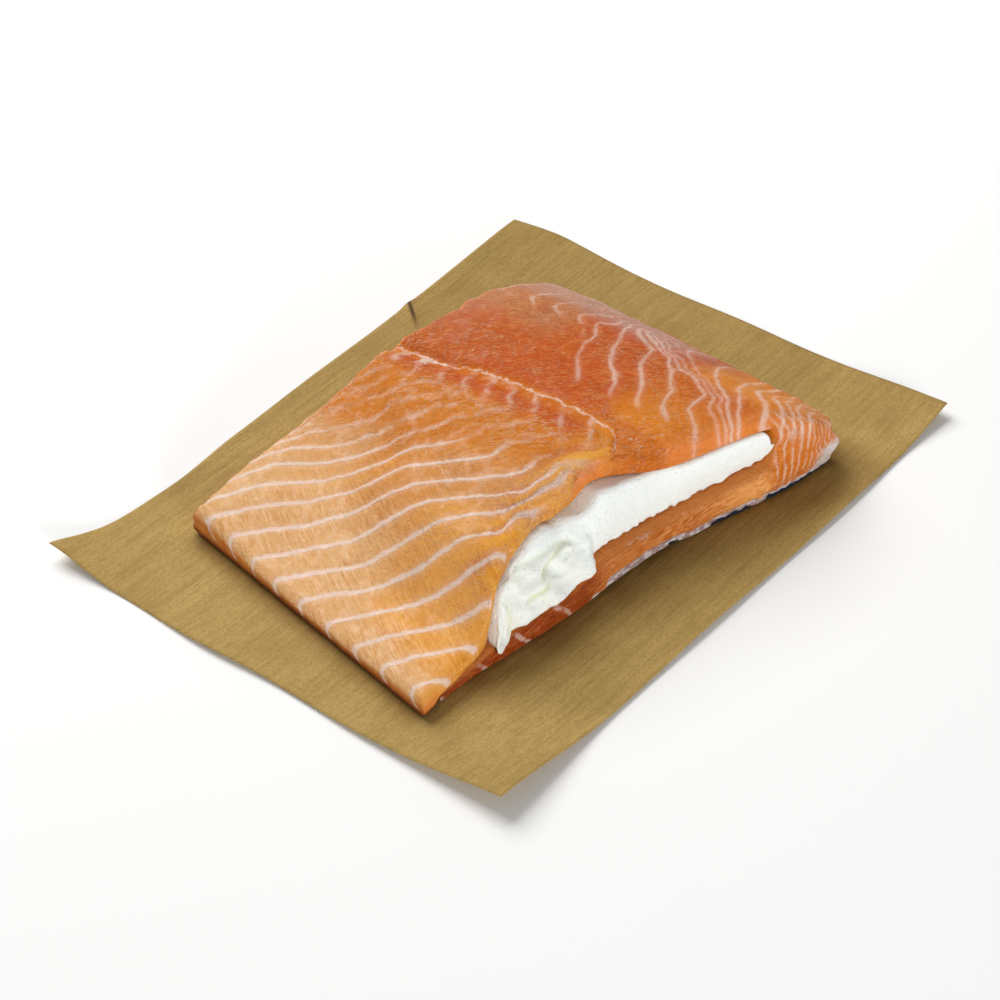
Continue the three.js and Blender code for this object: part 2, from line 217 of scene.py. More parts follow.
def seen(colour: Rgb, light: float = 1.0) -> Array:
    """Turns a colour as seen on a screen, 0 to 255, under some light, into a surface's own."""
    c = np.asarray(colour, float) / 255.0
    return np.where(c <= 0.04045, c / 12.92, ((c + 0.055) / 1.055) ** 2.4) / light


def under_sheen(colour: Rgb, light: float) -> Array:
    """Gives the own colour of wet flesh, which its pale sheen still has to lighten."""
    return np.maximum(seen(colour, light) - np.array(SHEEN), DARKEST)


# The fish's form


class Rows:
    """Rows of points from front to rear, with a rounded edge at either end."""

    def __init__(self, along: Array, cap: float) -> None:
        """Works out the shares.

        Args:
            along: The points' shares from front to rear.
            cap: The share that each rounded edge takes.
        """
        self.at_front, self.at_rear = along < cap, along > 1 - cap
        self.front_open, self.front_near = quarter_round(along / cap)
        self.rear_open, self.rear_near = quarter_round((1 - along) / cap)
        self.body = np.clip((along - cap) / (1 - 2 * cap), 0, 1)

    def spread(self, front: Array, rear: Array, front_round: Array, rear_round: Array) -> Array:
        """Places the rows between two cut ends.

        Args:
            front: The front end's y.
            rear: The rear end's y.
            front_round: The front edge's radius.
            rear_round: The rear edge's radius.

        Returns:
            Each point's y.
        """
        at_ends = (front + front_round * self.front_near, rear - rear_round * self.rear_near)
        middle = mix(front + front_round, rear - rear_round, self.body)
        return np.select((self.at_front, self.at_rear), at_ends, middle)


class FormLine(Enum):
    """Lines that run from front to rear on the upper surface, from belly edge to loin."""

    RIM = "rim"
    FLANK = "flank"
    KINK = "kink"
    RISE = "rise"
    PILLOW = "pillow"
    SEAM = "seam"
    CREST = "crest"
    SHOULDER = "shoulder"


@dataclass(frozen=True)
class Curve:
    """A smooth line with no overshoot through points, flat beyond its ends."""

    xs: tuple[float, ...]
    ys: tuple[float, ...]

    def __call__(self, at: Array) -> Array:
        """Reads the line at some places."""
        return ladder(self.xs, self.ys, at)


@dataclass(frozen=True)
class Run:
    """Where a form line lies at the four stations: across the fish and in height."""

    x: tuple[float, float, float, float]
    z: tuple[float, float, float, float]


@dataclass(frozen=True)
class Rounds:
    """Radii of a leaf's cut edge, on its inner and on its outer side."""

    inner: float
    outer: float


@dataclass(frozen=True)
class FishForm:
    """Outlines and heights of the folded fillet, as in the part's source."""

    # Where the form lines are measured from front to rear
    stations: tuple[float, ...] = (-60, -10, 20, 50)

    # Shares along the fold at which the leaves end, and of the rounded ends and edges
    lower_end: float = 21 / 60
    upper_start: float = 32 / 60
    tip_share: float = 2 / 60
    cap_share: float = 3 / 24

    # Lengths: rounded ends, the gap under the lip, the fold, the groove and the pillows beside it
    tip_radius: float = 1.6
    rim_radius: float = 3.4
    tip_inset: float = 9.0
    slit: float = 0.8
    fold_centre: float = 15.0
    fold_radius: float = 6.0
    pocket_round: float = 0.5
    groove_depth: float = 1.8
    groove_width: float = 3.2
    pillow_height: float = 0.7

    # Radii of the cut edges, and the shares of a leaf's thickness that they may take up
    front_lower: Rounds = Rounds(3.2, 0.8)
    front_upper: Rounds = Rounds(1.2, 8.0)
    rear_lower: Rounds = Rounds(2.0, 1.5)
    rear_upper: Rounds = Rounds(1.2, 4.5)
    left_outer: float = 3.0
    rear_reach: float = 6.0
    leaf_room: float = 0.8
    end_room: float = 0.4

    # The first guess at the front and rear cuts
    front_start: float = -65.0
    rear_start: float = 50.0
    runs: dict[FormLine, Run] = field(
        default_factory=lambda: {
            FormLine.RIM: Run((-115, -105.5, -99.8, -94.1), (8.5, 6.8, 7.2, 10.8)),
            FormLine.FLANK: Run((-101, -95, -83, -68), (10.5, 9, 11.5, 19.5)),
            FormLine.KINK: Run((-87, -84, -66, -30), (14.5, 12, 17, 28)),
            FormLine.RISE: Run((-70, -60, -42, -15), (36, 32, 31, 33)),
            FormLine.PILLOW: Run((-38, -30, -24, -9), (41, 41, 38.8, 35)),
            FormLine.SEAM: Run((-3, -3, -3, -3), (42, 41, 38.6, 35.4)),
            FormLine.CREST: Run((25, 28, 30, 30), (41, 41, 40.8, 39.4)),
            FormLine.SHOULDER: Run((52, 55, 56, 56), (34, 37, 37.8, 36.2)),
        }
    )

    # Across the fish from front to rear: loin edge, start of the pocket's end, cheese's belly side
    loin_x: Curve = Curve((-90, -78, -60, 0, 60), (72.5, 76.5, 79, 81, 79))
    pocket_x: Curve = Curve((-80, 0, 60), (43.4, 43, 40))
    cheese_x: Curve = Curve((-60, -10, 20, 50), (-79, -76, -60, -24))

    # From belly edge to loin: the lower leaf's cut front at the paper and the upper leaf's lip
    foot_y: Curve = Curve(
        (-115, -90, -62, -37, -5, 13, 46, 60, 75),
        (-57, -58.5, -63, -66, -69, -73, -82, -85, -87.5),
    )
    lip_y: Curve = Curve(
        (-115, -84, -75, -64, -40, -18, -5, 7, 25, 48, 60),
        (-58, -57, -55, -53, -51, -53, -60, -66, -72.5, -79.5, -84),
    )

    # Heights of the lower leaf's upper side, and how far its cut bulges from inner to outer side
    floor_front: Curve = Curve(
        (-100, -88, -79, -67, -47, -35, -28, 0, 25, 46),
        (3.2, 5, 7, 10, 10.5, 13, 13.9, 12.4, 12.9, 14),
    )
    floor_rear: Curve = Curve((-96, -80, -60, -30, 0, 46), (3.2, 5.5, 9, 12, 13, 14))
    cut_bulge: Curve = Curve((0, 0.3, 0.6, 0.82, 1), (3.2, 0.3, -0.6, 0.9, 0.2))

    # Thickness of the upper leaf, and what the lip adds to it
    leaf_thick: Curve = Curve(
        (-110, -84, -64, -40, -20, -5, 10, 25, 44),
        (5.5, 7, 9.5, 9.5, 11, 12.6, 12.4, 11.6, 9),
    )
    lip_thick: Curve = Curve(
        (-62, -53, -46, -40, -32, -27, -22, -16, -8, -2, 6),
        (-1.6, -2.6, -1.2, 1.6, 1.4, -0.6, -3.0, -2.6, -2.2, -0.8, 0),
    )

    def rim_x(self, y: Array) -> Array:
        """Gives the belly edge's place across the fish."""
        return -103.6 + 0.19 * y

    def rear_y(self, x: Array) -> Array:
        """Gives the rear edge, scalloped and torn on the loin side.

        Args:
            x: Places across the fish.

        Returns:
            Its y.
        """
        scallop = 1.6 * smooth((x + 25) / 30) * np.sin((x + 25) / 7.5) * smooth((72 - x) / 12)
        drop = 1.5 * hump(x, 4, 10) - 3.2 * smooth((x - 12) / 15)
        torn = 1.1 * np.abs(np.sin(x / 3.6 + 0.4 * np.sin(x / 5))) * band(x, 0, 52, 8)
        return 64.5 - 0.17 * (x + 93) + scallop + drop + torn

    def line_x(self, line: FormLine, y: Array) -> Array:
        """Gives a form line's place across the fish at places from front to rear."""
        return ladder(self.stations, self.runs[line].x, y)

    def smooth_top(self, x: Array, y: Array) -> Array:
        """Gives the height of the upper surface without its groove.

        Args:
            x: Places across the fish.
            y: Places from front to rear.

        Returns:
            Heights over the fish's zero.
        """
        xs = [ladder(self.stations, run.x, y) for run in self.runs.values()]
        zs = [ladder(self.stations, run.z, y) for run in self.runs.values()]
        xs.append(xs[-1] + 40)
        zs.append(zs[-1] - 26)
        return ladder(xs, zs, x)

    def top(self, x: Array, y: Array) -> Array:
        """Gives the height of the upper surface.

        Args:
            x: Places across the fish.
            y: Places from front to rear.

        Returns:
            Heights over the fish's zero.
        """
        groove = self.groove_depth * hump(x, self.line_x(FormLine.SEAM, y), self.groove_width)
        pillows = self.pillow_height * (hump(x, -14, 7) + hump(x, 8, 8))
        return self.smooth_top(x, y) - groove + pillows

    def floor(self, x: Array, y: Array) -> Array:
        """Gives the height of the lower leaf's upper side."""
        return mix(self.floor_front(x), self.floor_rear(x), smooth((y + 60) / 60))

    def roof(self, x: Array, y: Array) -> Array:
        """Gives the height of the upper leaf's underside.

        Args:
            x: Places across the fish.
            y: Places from front to rear.

        Returns:
            Heights over the fish's zero.
        """
        at_lip = smooth((self.lip_y(x) + 16 - y) / 10)
        thick = self.leaf_thick(x) + self.lip_thick(x) * at_lip * band(x, -66, 2, 4)
        on_leaf = np.maximum(self.floor(x, y) + self.slit, FISH_Z)
        on_paper = np.clip((x - (self.rim_x(y) + self.tip_inset - 4)) / 3.4, 0, 1)
        rest = mix(FISH_Z, on_leaf, on_paper)
        over = smooth((x - self.cheese_x(y) + 5) / 10)
        return mix(rest, np.maximum(self.smooth_top(x, y) - thick, rest), over)

    def upper_x(self, t: Array, y: Array) -> Array:
        """Gives the place across the upper leaf from the pocket's end to the belly edge.

        Args:
            t: Share of the way to the belly edge.
            y: Places from front to rear.

        Returns:
            Places across the fish.
        """
        edge = self.rim_x(y)
        knots = [
            self.pocket_x(y),
            25.0 + 0 * y,
            5.0 + 0 * y,
            self.line_x(FormLine.SEAM, y),
            -9.0 + 0 * y,
            np.minimum(self.line_x(FormLine.RISE, y), -16),
            self.line_x(FormLine.KINK, y),
            edge + self.tip_inset + 1,
            edge + self.tip_inset - 4,
            edge + self.rim_radius,
        ]
        shares = [0, 0.15, 0.27, 0.31, 0.35, 0.54, 0.69, 0.885, 0.962, 1]
        place = knots[0]
        for k in range(len(shares) - 1):
            part = np.clip((t - shares[k]) / (shares[k + 1] - shares[k]), 0, 1)
            place = np.where(t > shares[k], mix(knots[k], knots[k + 1], part), place)
        return place

    def lower_section(self, share: Array, y: Array) -> tuple[Array, ...]:
        """Gives the lower leaf's section across the fish.

        Args:
            share: Shares along the fold.
            y: Places from front to rear.

        Returns:
            x and height of the inner side, x and height of the outer side, and the upward share.
        """
        end = self.rim_x(y) + self.tip_inset
        t = np.clip((share - self.tip_share) / (self.lower_end - self.tip_share), 0, 1)
        _, inset = quarter_round(share / self.tip_share)
        x = np.where(
            share < self.tip_share,
            end + self.tip_radius * inset,
            mix(end + self.tip_radius, self.pocket_x(y), t),
        )
        return x, self.floor(x, y), x, FISH_Z + 0 * x, 0 * x

    def upper_section(self, share: Array, y: Array) -> tuple[Array, ...]:
        """Gives the upper leaf's section across the fish.

        Args:
            share: Shares along the fold.
            y: Places from front to rear.

        Returns:
            x and height of the inner side, x and height of the outer side, and the upward share.
        """
        t = np.clip((share - self.upper_start) / (1 - self.tip_share - self.upper_start), 0, 1)
        _, inset = quarter_round((1 - share) / self.tip_share)
        x = np.where(
            share > 1 - self.tip_share,
            self.rim_x(y) + self.rim_radius * inset,
            self.upper_x(t, y),
        )
        return x, self.roof(x, y), x, self.top(x, y), 1 + 0 * x

    def fold_section(self, share: Array, y: Array) -> tuple[Array, ...]:
        """Gives the fold's section across the fish.

        Args:
            share: Shares along the fold.
            y: Places from front to rear.

        Returns:
            x and height of the inner side, x and height of the outer side, and the upward share.
        """
        t = (share - self.lower_end) / (self.upper_start - self.lower_end)
        start, edge = self.pocket_x(y), self.loin_x(y)
        low, high = self.floor(start, y), self.roof(start, y)
        angle = mix(-QUARTER, QUARTER, t)
        half = (high - low) / 2
        inner_x = start + half * self.pocket_round * np.cos(angle)
        inner_z = low + half + half * np.sin(angle)
        r = self.fold_radius
        flat = edge - r - start
        bend = r * QUARTER
        wall = self.fold_centre - FISH_Z - r
        way = (t / 0.5) * (flat + bend + wall)
        turn = np.clip((way - flat) / bend, 0, 1) * QUARTER
        low_x = start + np.clip(way, 0, flat) + r * np.sin(turn)
        low_z = FISH_Z + r * (1 - np.cos(turn)) + np.maximum(way - flat - bend, 0)
        turn = np.clip((t - 0.5) / 0.5, 0, 1) * QUARTER
        high_x = start + (edge - start) * np.cos(turn)
        crown = self.top(high_x, y) - self.fold_centre
        high_z = self.fold_centre + crown * np.sin(turn) ** 0.9
        outer_x = np.where(t < 0.5, low_x, high_x)
        outer_z = np.where(t < 0.5, low_z, high_z)
        return inner_x, inner_z, outer_x, outer_z, smooth(t)

    def points(self, share: Array, along: Array, out: Array) -> Array:
        """Places grid points of the fillet.

        Args:
            share: Share of the way along the fold, from the lower leaf's end to the belly edge.
            along: Share of the way from front to rear.
            out: Share of the way from the pocket side outwards.

        Returns:
            One row of x, y and z for each point.
        """
        places = np.zeros((len(share), 3))
        lower = share <= self.lower_end
        upper = share >= self.upper_start
        zones = (
            (lower, self.lower_section, share),
            (upper, self.upper_section, 1 - share),
            (~lower & ~upper, self.fold_section, None),
        )
        for zone, section, from_end in zones:
            end = None if from_end is None else from_end[zone]
            places[zone] = self.zone_points(
                section, share[zone], along[zone], out[zone], end, section == self.upper_section
            )
        return places

    def zone_points(
        self,
        section: Callable,
        share: Array,
        along: Array,
        out: Array,
        from_end: Array | None,
        is_upper: bool,
    ) -> Array:
        """Places the grid points of one leaf or of the fold.

        Args:
            section: The zone's section across the fish.
            share: Shares along the fold.
            along: Shares from front to rear.
            out: Shares outwards.
            from_end: Shares from the leaf's own end, or None in the fold.
            is_upper: Whether this is the upper leaf.

        Returns:
            One row of x, y and z for each point.
        """
        rows = Rows(along, self.cap_share)
        room, tip_open = self.leaf_room, None
        if from_end is not None:
            near_end = smooth(1.2 - from_end / (3 * self.tip_share))
            room = mix(self.leaf_room, self.end_room, near_end)
            tip_open, _ = quarter_round(from_end / self.tip_share)
        y = mix(self.front_start, self.rear_start, rows.body)
        x = z = 0 * y
        for _ in range(SETTLING):
            inner_x, inner_z, outer_x, outer_z, up = section(share, y)
            thick = np.hypot(outer_x - inner_x, outer_z - inner_z)
            upper_outer = self.front_upper.outer
            if is_upper:
                upper_outer = mix(upper_outer, self.left_outer, smooth((6 - x) / 16))
            outside = mix(self.front_lower.outer, upper_outer, up)
            inside = mix(self.front_lower.inner, self.front_upper.inner, up)
            fit = np.minimum(1, (room * thick) / (outside + inside))
            ro, ri = outside * fit, inside * fit
            rear_fit = np.minimum(1, (room * thick) / self.rear_reach)
            ero = mix(self.rear_lower.outer, self.rear_upper.outer, up) * rear_fit
            eri = mix(self.rear_lower.inner, self.rear_upper.inner, up) * rear_fit
            tip = 0.0 if tip_open is None else np.minimum(self.tip_radius, 0.22 * thick) * tip_open
            rim = np.minimum(self.rim_radius, 0.42 * thick) * tip_open if is_upper else tip
            cut_out = ro * rows.front_open + ero * rows.rear_open + rim
            cut_in = ri * rows.front_open + eri * rows.rear_open + tip
            keep = np.minimum(1, (0.9 * thick) / np.maximum(cut_out + cut_in, 1e-6))
            depth = mix(cut_in * keep / thick, 1 - cut_out * keep / thick, out)
            x = mix(inner_x, outer_x, depth)
            z = mix(inner_z, outer_z, depth)
            foot = self.foot_y(x) + self.cut_bulge(depth) * np.minimum(1, thick / 11)
            lip = self.lip_y(x) - 4 * depth * (1 - depth)
            rear = self.rear_y(x) + mix(1, 0, up)
            y = rows.spread(mix(foot, lip, up), rear, mix(ri, ro, depth), mix(eri, ero, depth))
        return np.stack([x, y, z], axis=1)


# Lines of fat


@dataclass(frozen=True)
class FatLines:
    """Where the white lines of fat run on the upper surface, numbered from rear to front."""

    form: FishForm

    # The y at which each numbered line crosses the form lines
    numbers: tuple[float, ...] = (-8, -6, -4, -2, 0, 2, 4, 6, 8, 10)
    crossings: dict[str, tuple[float, ...]] = field(
        default_factory=lambda: {
            "rim": (155, 131, 107, 82, 57.5, 33.3, 7, -22, -50.6, -80),
            "flank": (88, 78, 66, 52.5, 37.3, 18.2, -3.2, -31.3, -60, -90),
            "kink": (60.5, 51, 41.8, 33.2, 23.9, 7.7, -13.7, -45, -75, -105),
            "slope": (63, 49.4, 36.5, 26.6, 15.3, -1.7, -27.4, -57, -87, -117),
            "rise": (65, 47.9, 29.7, 16.8, 4.8, -14, -39.1, -68, -97, -126),
            "pillow": (66, 46.5, 22.7, 0.5, -24, -46, -56, -70, -96, -130),
            "seam": (64, 44.2, 24.9, 6.8, -14.3, -40.4, -62, -84, -106, -130),
        }
    )

    # The same on the loin side, where each row is for one x
    loin_numbers: tuple[float, ...] = (-4, -3, -2, -1, 0, 1, 2, 3, 4, 5, 6, 7, 8, 9, 10, 11, 14)
    loin_crossings: dict[float, tuple[float, ...]] = field(
        default_factory=lambda: {
            10: (22, 12, 2, -9, -22, -38, -49, -60, -70, -80, -83, -86, -89, -97, -104, -111, -129),
            22: (24, 13, 4, -5, -13, -29, -40, -51, -62, -73, -75.5, -77.5, -80, -90, -97, -104, -122),
            34: (26, 14, 4, -4, -8.5, -20, -32, -44, -57.5, -62, -65, -68, -72.5, -82, -89, -96, -114),
            40: (30, 19, 8, -1, -6.5, -16.5, -29.5, -41, -50, -54, -57, -61, -67.5, -78.5, -85, -92, -107),
            46: (36, 25, 14, 3.5, -3, -13.5, -26.5, -35, -38.5, -42, -47, -55.5, -64, -74.5, -82, -89, -104),
            52: (34, 23, 12, 1, -8, -12, -17, -23, -27, -30, -39.5, -50.5, -61, -68.5, -77, -82, -97),
            58: (30, 19, 8, -3, -8, -11, -14, -17, -20, -24, -33.5, -46, -59, -65, -71, -76, -90),
            70: (24, 13, 3, -6, -9, -11, -13, -15, -18, -22, -30, -42, -54, -60, -66, -71, -84),
        }
    )

    # The white seam's place across the fish, and where the flap's muscle ends above the lip
    seam_x: Curve = Curve(
        (-56, -52, -48, -40, -30, 0, 15, 25, 35, 48),
        (-16, -7, -2.5, -0.5, 0.3, 0, -0.7, -2.5, -2.3, -2),
    )
    flap_end: Curve = Curve((-34, -28, -14, -8, 0, 4), (-59, -57, -54, -51, -45, -30))

    def number_at(self, line: str, y: Array) -> Array:
        """Gives the number of the fat line that crosses a form line at y."""
        return ladder([-v for v in self.crossings[line]], self.numbers, -y)

    def flap(self, x: Array, y: Array) -> Array:
        """Gives the fat lines' number on the belly flap, whole on each line.

        Args:
            x: Places across the fish.
            y: Places from front to rear.

        Returns:
            The numbers, with the part of the way to the next line.
        """
        kink = self.form.line_x(FormLine.KINK, y)
        rise = self.form.line_x(FormLine.RISE, y)
        places = {
            "rim": self.form.rim_x(y),
            "flank": self.form.line_x(FormLine.FLANK, y),
            "kink": kink,
            "slope": (kink + rise) / 2,
            "rise": rise,
            "pillow": self.form.line_x(FormLine.PILLOW, y),
            "seam": -1.0 + 0 * y,
        }
        y = y + np.interp(x, (-28, -20, -14, -1), (0.0, 8.0, 16.0, 10.5))
        number = ladder(list(places.values()), [self.number_at(n, y) for n in places], x)
        return number + 0.45 * smooth((self.form.lip_y(x) + 10 - y) / 9) * band(x, -58, -24, 8)

    def loin(self, x: Array, y: Array) -> Array:
        """Gives the fat lines' number on the loin side, whole on each line.

        Args:
            x: Places across the fish.
            y: Places from front to rear.

        Returns:
            The numbers, with the part of the way to the next line.
        """
        y = y + 0.8 * np.sin(x / 4.6 + y / 9.0)
        numbers = self.loin_numbers
        at_stations = [ladder([-v for v in ys], numbers, -y) for ys in self.loin_crossings.values()]
        return ladder(list(self.loin_crossings), at_stations, x)

    @staticmethod
    def gap(number: Callable, x: Array, y: Array) -> Array:
        """Gives the distance between neighbouring lines where they pass.

        Args:
            number: Gives the lines' number at x and y.
            x: Places across the fish.
            y: Places from front to rear.

        Returns:
            Millimetres from line to line.
        """
        step = 0.5
        here = number(x, y)
        dx = (number(x + step, y) - here) / step
        dy = (number(x, y + step) - here) / step
        return np.clip(1.0 / np.maximum(np.hypot(dx, dy), 1e-3), 2.0, 40.0)


# Meshes


def grid_block(name: str, divisions: tuple[int, int, int]) -> tuple[bpy.types.Object, Array]:
    """Makes a closed block cut into a grid, ready for its points to be moved.

    Args:
        name: The piece's name.
        divisions: Cells along each axis.

    Returns:
        The new object and each point's share along the three axes.
    """
    bm = bmesh.new()
    bmesh.ops.create_cube(bm, size=1.0)
    for axis, count in enumerate(divisions):
        edges = [e for e in bm.edges if abs((e.verts[0].co - e.verts[1].co)[axis]) > 0.9]
        bmesh.ops.subdivide_edges(bm, edges=edges, cuts=count - 1, use_grid_fill=True)
    bmesh.ops.recalc_face_normals(bm, faces=bm.faces)
    for face in bm.faces:
        face.smooth = True
    mesh = bpy.data.meshes.new(name)
    bm.to_mesh(mesh)
    bm.free()
    piece = bpy.data.objects.new(name, mesh)
    bpy.context.scene.collection.objects.link(piece)
    places = read_points(mesh) + 0.5
    counts = np.asarray(divisions, float)
    return piece, np.round(places * counts) / counts


def read_points(mesh: bpy.types.Mesh) -> Array:
    """Reads a mesh's points, one row each.

    Args:
        mesh: The mesh.

    Returns:
        Rows of x, y and z.
    """
    flat = np.zeros(len(mesh.vertices) * 3)
    mesh.vertices.foreach_get("co", flat)
    return flat.reshape(-1, 3)


def write_points(mesh: bpy.types.Mesh, places: Array) -> None:
    """Moves a mesh's points."""
    mesh.vertices.foreach_set("co", np.ascontiguousarray(places, dtype=np.float32).ravel())
    mesh.update()


def read_normals(mesh: bpy.types.Mesh) -> Array:
    """Reads the direction that each point faces, one row each.

    Args:
        mesh: The mesh.

    Returns:
        Rows of x, y and z.
    """
    flat = np.zeros(len(mesh.vertices) * 3, dtype=np.float32)
    mesh.vertex_normals.foreach_get("vector", flat)
    return flat.reshape(-1, 3).astype(float)


def to_part(places: Array) -> Array:
    """Turns millimetres in the fish's frame into metres in the part's frame."""
    return (places + np.array([*FISH_SHIFT, 0.0])) * METRE


def write_values(mesh: bpy.types.Mesh, values: dict[str, Array]) -> None:
    """Stores numbers at each point by name, for the material to read.

    Args:
        mesh: The mesh.
        values: One number for each point, by name.
    """
    for name, numbers in values.items():
        layer = mesh.attributes.new(name, "FLOAT", "POINT")
        layer.data.foreach_set("value", np.ascontiguousarray(numbers, dtype=np.float32))


def write_colour(mesh: bpy.types.Mesh, name: str, colours: Array) -> None:
    """Stores a colour at each point, for the material to read.

    Args:
        mesh: The mesh.
        name: The stored colour's name.
        colours: One row of red, green and blue for each point.
    """
    layer = mesh.attributes.new(name, "FLOAT_COLOR", "POINT")
    rgba = np.concatenate([colours, np.ones((len(colours), 1))], axis=1)
    layer.data.foreach_set("color", np.ascontiguousarray(rgba, dtype=np.float32).ravel())


# Materials


Source = bpy.types.NodeSocket | float | tuple


class Nodes:
    """A material's or group's node tree, with short ways to add and join nodes."""

    def __init__(self, tree: bpy.types.NodeTree) -> None:
        """Keeps the tree that the nodes go into."""
        self.tree = tree

    def add(
        self, kind: str, inputs: dict | None = None, settings: dict | None = None
    ) -> bpy.types.Node:
        """Adds one node.

        Args:
            kind: The node's type.
            inputs: Values or sockets for its inputs, by name or number.
            settings: The node's own options.

        Returns:
            The new node.
        """
        node = self.tree.nodes.new(kind)
        for name, value in (settings or {}).items():
            setattr(node, name, value)
        self.feed_all(node, inputs or {})
        return node

    def feed(self, socket: bpy.types.NodeSocket, value: Source) -> None:
        """Joins a socket to another, or sets its value.

        Args:
            socket: The input.
            value: A socket or a plain value.
        """
        if isinstance(value, bpy.types.NodeSocket):
            self.tree.links.new(value, socket)
        else:
            socket.default_value = value

    def feed_all(self, node: bpy.types.Node, inputs: dict) -> None:
        """Joins or sets several of a node's inputs, by name or number."""
        for name, value in inputs.items():
            self.feed(node.inputs[name], value)

    def sum(self, operation: str, *terms: Source) -> bpy.types.NodeSocket:
        """Works out one sum."""
        node = self.add("ShaderNodeMath", dict(enumerate(terms)), {"operation": operation})
        return node.outputs[0]

    def times(self, product: Source, *factors: Source) -> Source:
        """Multiplies numbers, from the first to the last.

        Args:
            product: The first number.
            factors: The others.

        Returns:
            The product.
        """
        for factor in factors:
            product = self.sum("MULTIPLY", product, factor)
        return product

    def add_times(self, amount: Source, factor: Source, base: Source) -> bpy.types.NodeSocket:
        """Gives an amount times a factor, added to a base."""
        return self.sum("MULTIPLY_ADD", amount, factor, base)

    def centred(self, value: Source, centre: float = 0.5) -> bpy.types.NodeSocket:
        """Gives how far a value is above its centre."""
        return self.sum("SUBTRACT", value, centre)

    def largest(self, *values: Source) -> Source:
        """Gives the largest of some numbers.

        Args:
            values: Sockets or plain numbers.

        Returns:
            The largest one.
        """
        *others, top = values
        for value in reversed(others):
            top = self.sum("MAXIMUM", value, top)
        return top

    def read(self, name: str) -> bpy.types.NodeSocket:
        """Reads a number stored at the mesh's points."""
        return self.add("ShaderNodeAttribute", None, {"attribute_name": name}).outputs["Fac"]

    def read_colour(self, name: str) -> bpy.types.NodeSocket:
        """Reads a colour stored at the mesh's points."""
        return self.add("ShaderNodeAttribute", None, {"attribute_name": name}).outputs["Color"]

    def place(self, scale: Rgb = (1.0, 1.0, 1.0)) -> bpy.types.NodeSocket:
        """Gives the place on the object, in millimetres times scale.

        Args:
            scale: Factor along each axis.

        Returns:
            A vector socket.
        """
        where = self.add("ShaderNodeTexCoord").outputs["Object"]
        inputs = {"Vector": where, "Scale": tuple(s / METRE for s in scale)}
        return self.add("ShaderNodeMapping", inputs).outputs[0]

    def noise(
        self, vector: Source, scale: float, detail: float = 2.0, rough: float = 0.5,
        distortion: float = 0.0,
    ) -> bpy.types.NodeSocket:
        """Gives smooth noise from 0 to 1.

        Args:
            vector: Where it is read.
            scale: Swellings for each unit of the vector.
            detail: Octaves of finer noise.
            rough: How strong the finer noise is.
            distortion: How far the noise is bent by itself.

        Returns:
            The noise's value.
        """
        node = self.add(
            "ShaderNodeTexNoise",
            {
                "Vector": vector,
                "Scale": scale,
                "Detail": detail,
                "Roughness": rough,
                "Distortion": distortion,
            },
        )
        return node.outputs[0]

    def span(
        self, value: Source, low: Source, high: Source, start: float = 0.0, end: float = 1.0
    ) -> bpy.types.NodeSocket:
        """Eases from start to end as a value goes from low to high.

        Args:
            value: The value.
            low: Where the easing starts.
            high: Where it ends.
            start: The result up to low.
            end: The result from high on.

        Returns:
            The eased value.
        """
        node = self.add(
            "ShaderNodeMapRange",
            {"Value": value, "From Min": low, "From Max": high, "To Min": start, "To Max": end},
            {"interpolation_type": "SMOOTHSTEP", "clamp": True},
        )
        return node.outputs[0]

    def blend(
        self, factor: Source, a: Source, b: Source, mode: str = "MIX"
    ) -> bpy.types.NodeSocket:
        """Blends two colours.

        Args:
            factor: Share of the second colour.
            a: The first colour.
            b: The second colour.
            mode: The way of blending.

        Returns:
            The blended colour.
        """
        node = self.tree.nodes.new("ShaderNodeMix")
        node.data_type = "RGBA"
        node.blend_type = mode
        self.feed(node.inputs[0], factor)
        self.feed(node.inputs[6], a)
        self.feed(node.inputs[7], b)
        return node.outputs[2]

    def lay(self, colour: Source, mask: Source, amount: float, shade: Source) -> Source:
        """Lays a shade over a colour, as strongly as a mask times an amount."""
        return self.blend(self.times(mask, amount), colour, shade)

    def bump(self, height: Source, strength: float) -> bpy.types.NodeSocket:
        """Turns a height in millimetres into the direction that the surface faces."""
        inputs = {"Height": height, "Strength": strength, "Distance": METRE}
        return self.add("ShaderNodeBump", inputs).outputs[0]

    def group(self, tree: bpy.types.NodeTree, inputs: dict) -> bpy.types.Node:
        """Places a node group."""
        return self.add("ShaderNodeGroup", inputs, {"node_tree": tree})


def rgba(colour: Rgb, light: float = 1.0) -> tuple[float, float, float, float]:
    """Turns a colour as seen on a screen under some light into a node's colour."""
    return (*seen(colour, light), 1.0)


def new_material(name: str) -> tuple[bpy.types.Material, Nodes, bpy.types.Node]:
    """Makes a material with only its surface shader and output.

    Args:
        name: The material's name.

    Returns:
        The material, its node kit and its surface shader.
    """
    material = bpy.data.materials.new(name)
    material.use_nodes = True
    material.node_tree.nodes.clear()
    nodes = Nodes(material.node_tree)
    shader = nodes.add("ShaderNodeBsdfPrincipled")
    nodes.add("ShaderNodeOutputMaterial", {"Surface": shader.outputs[0]})
    return material, nodes, shader


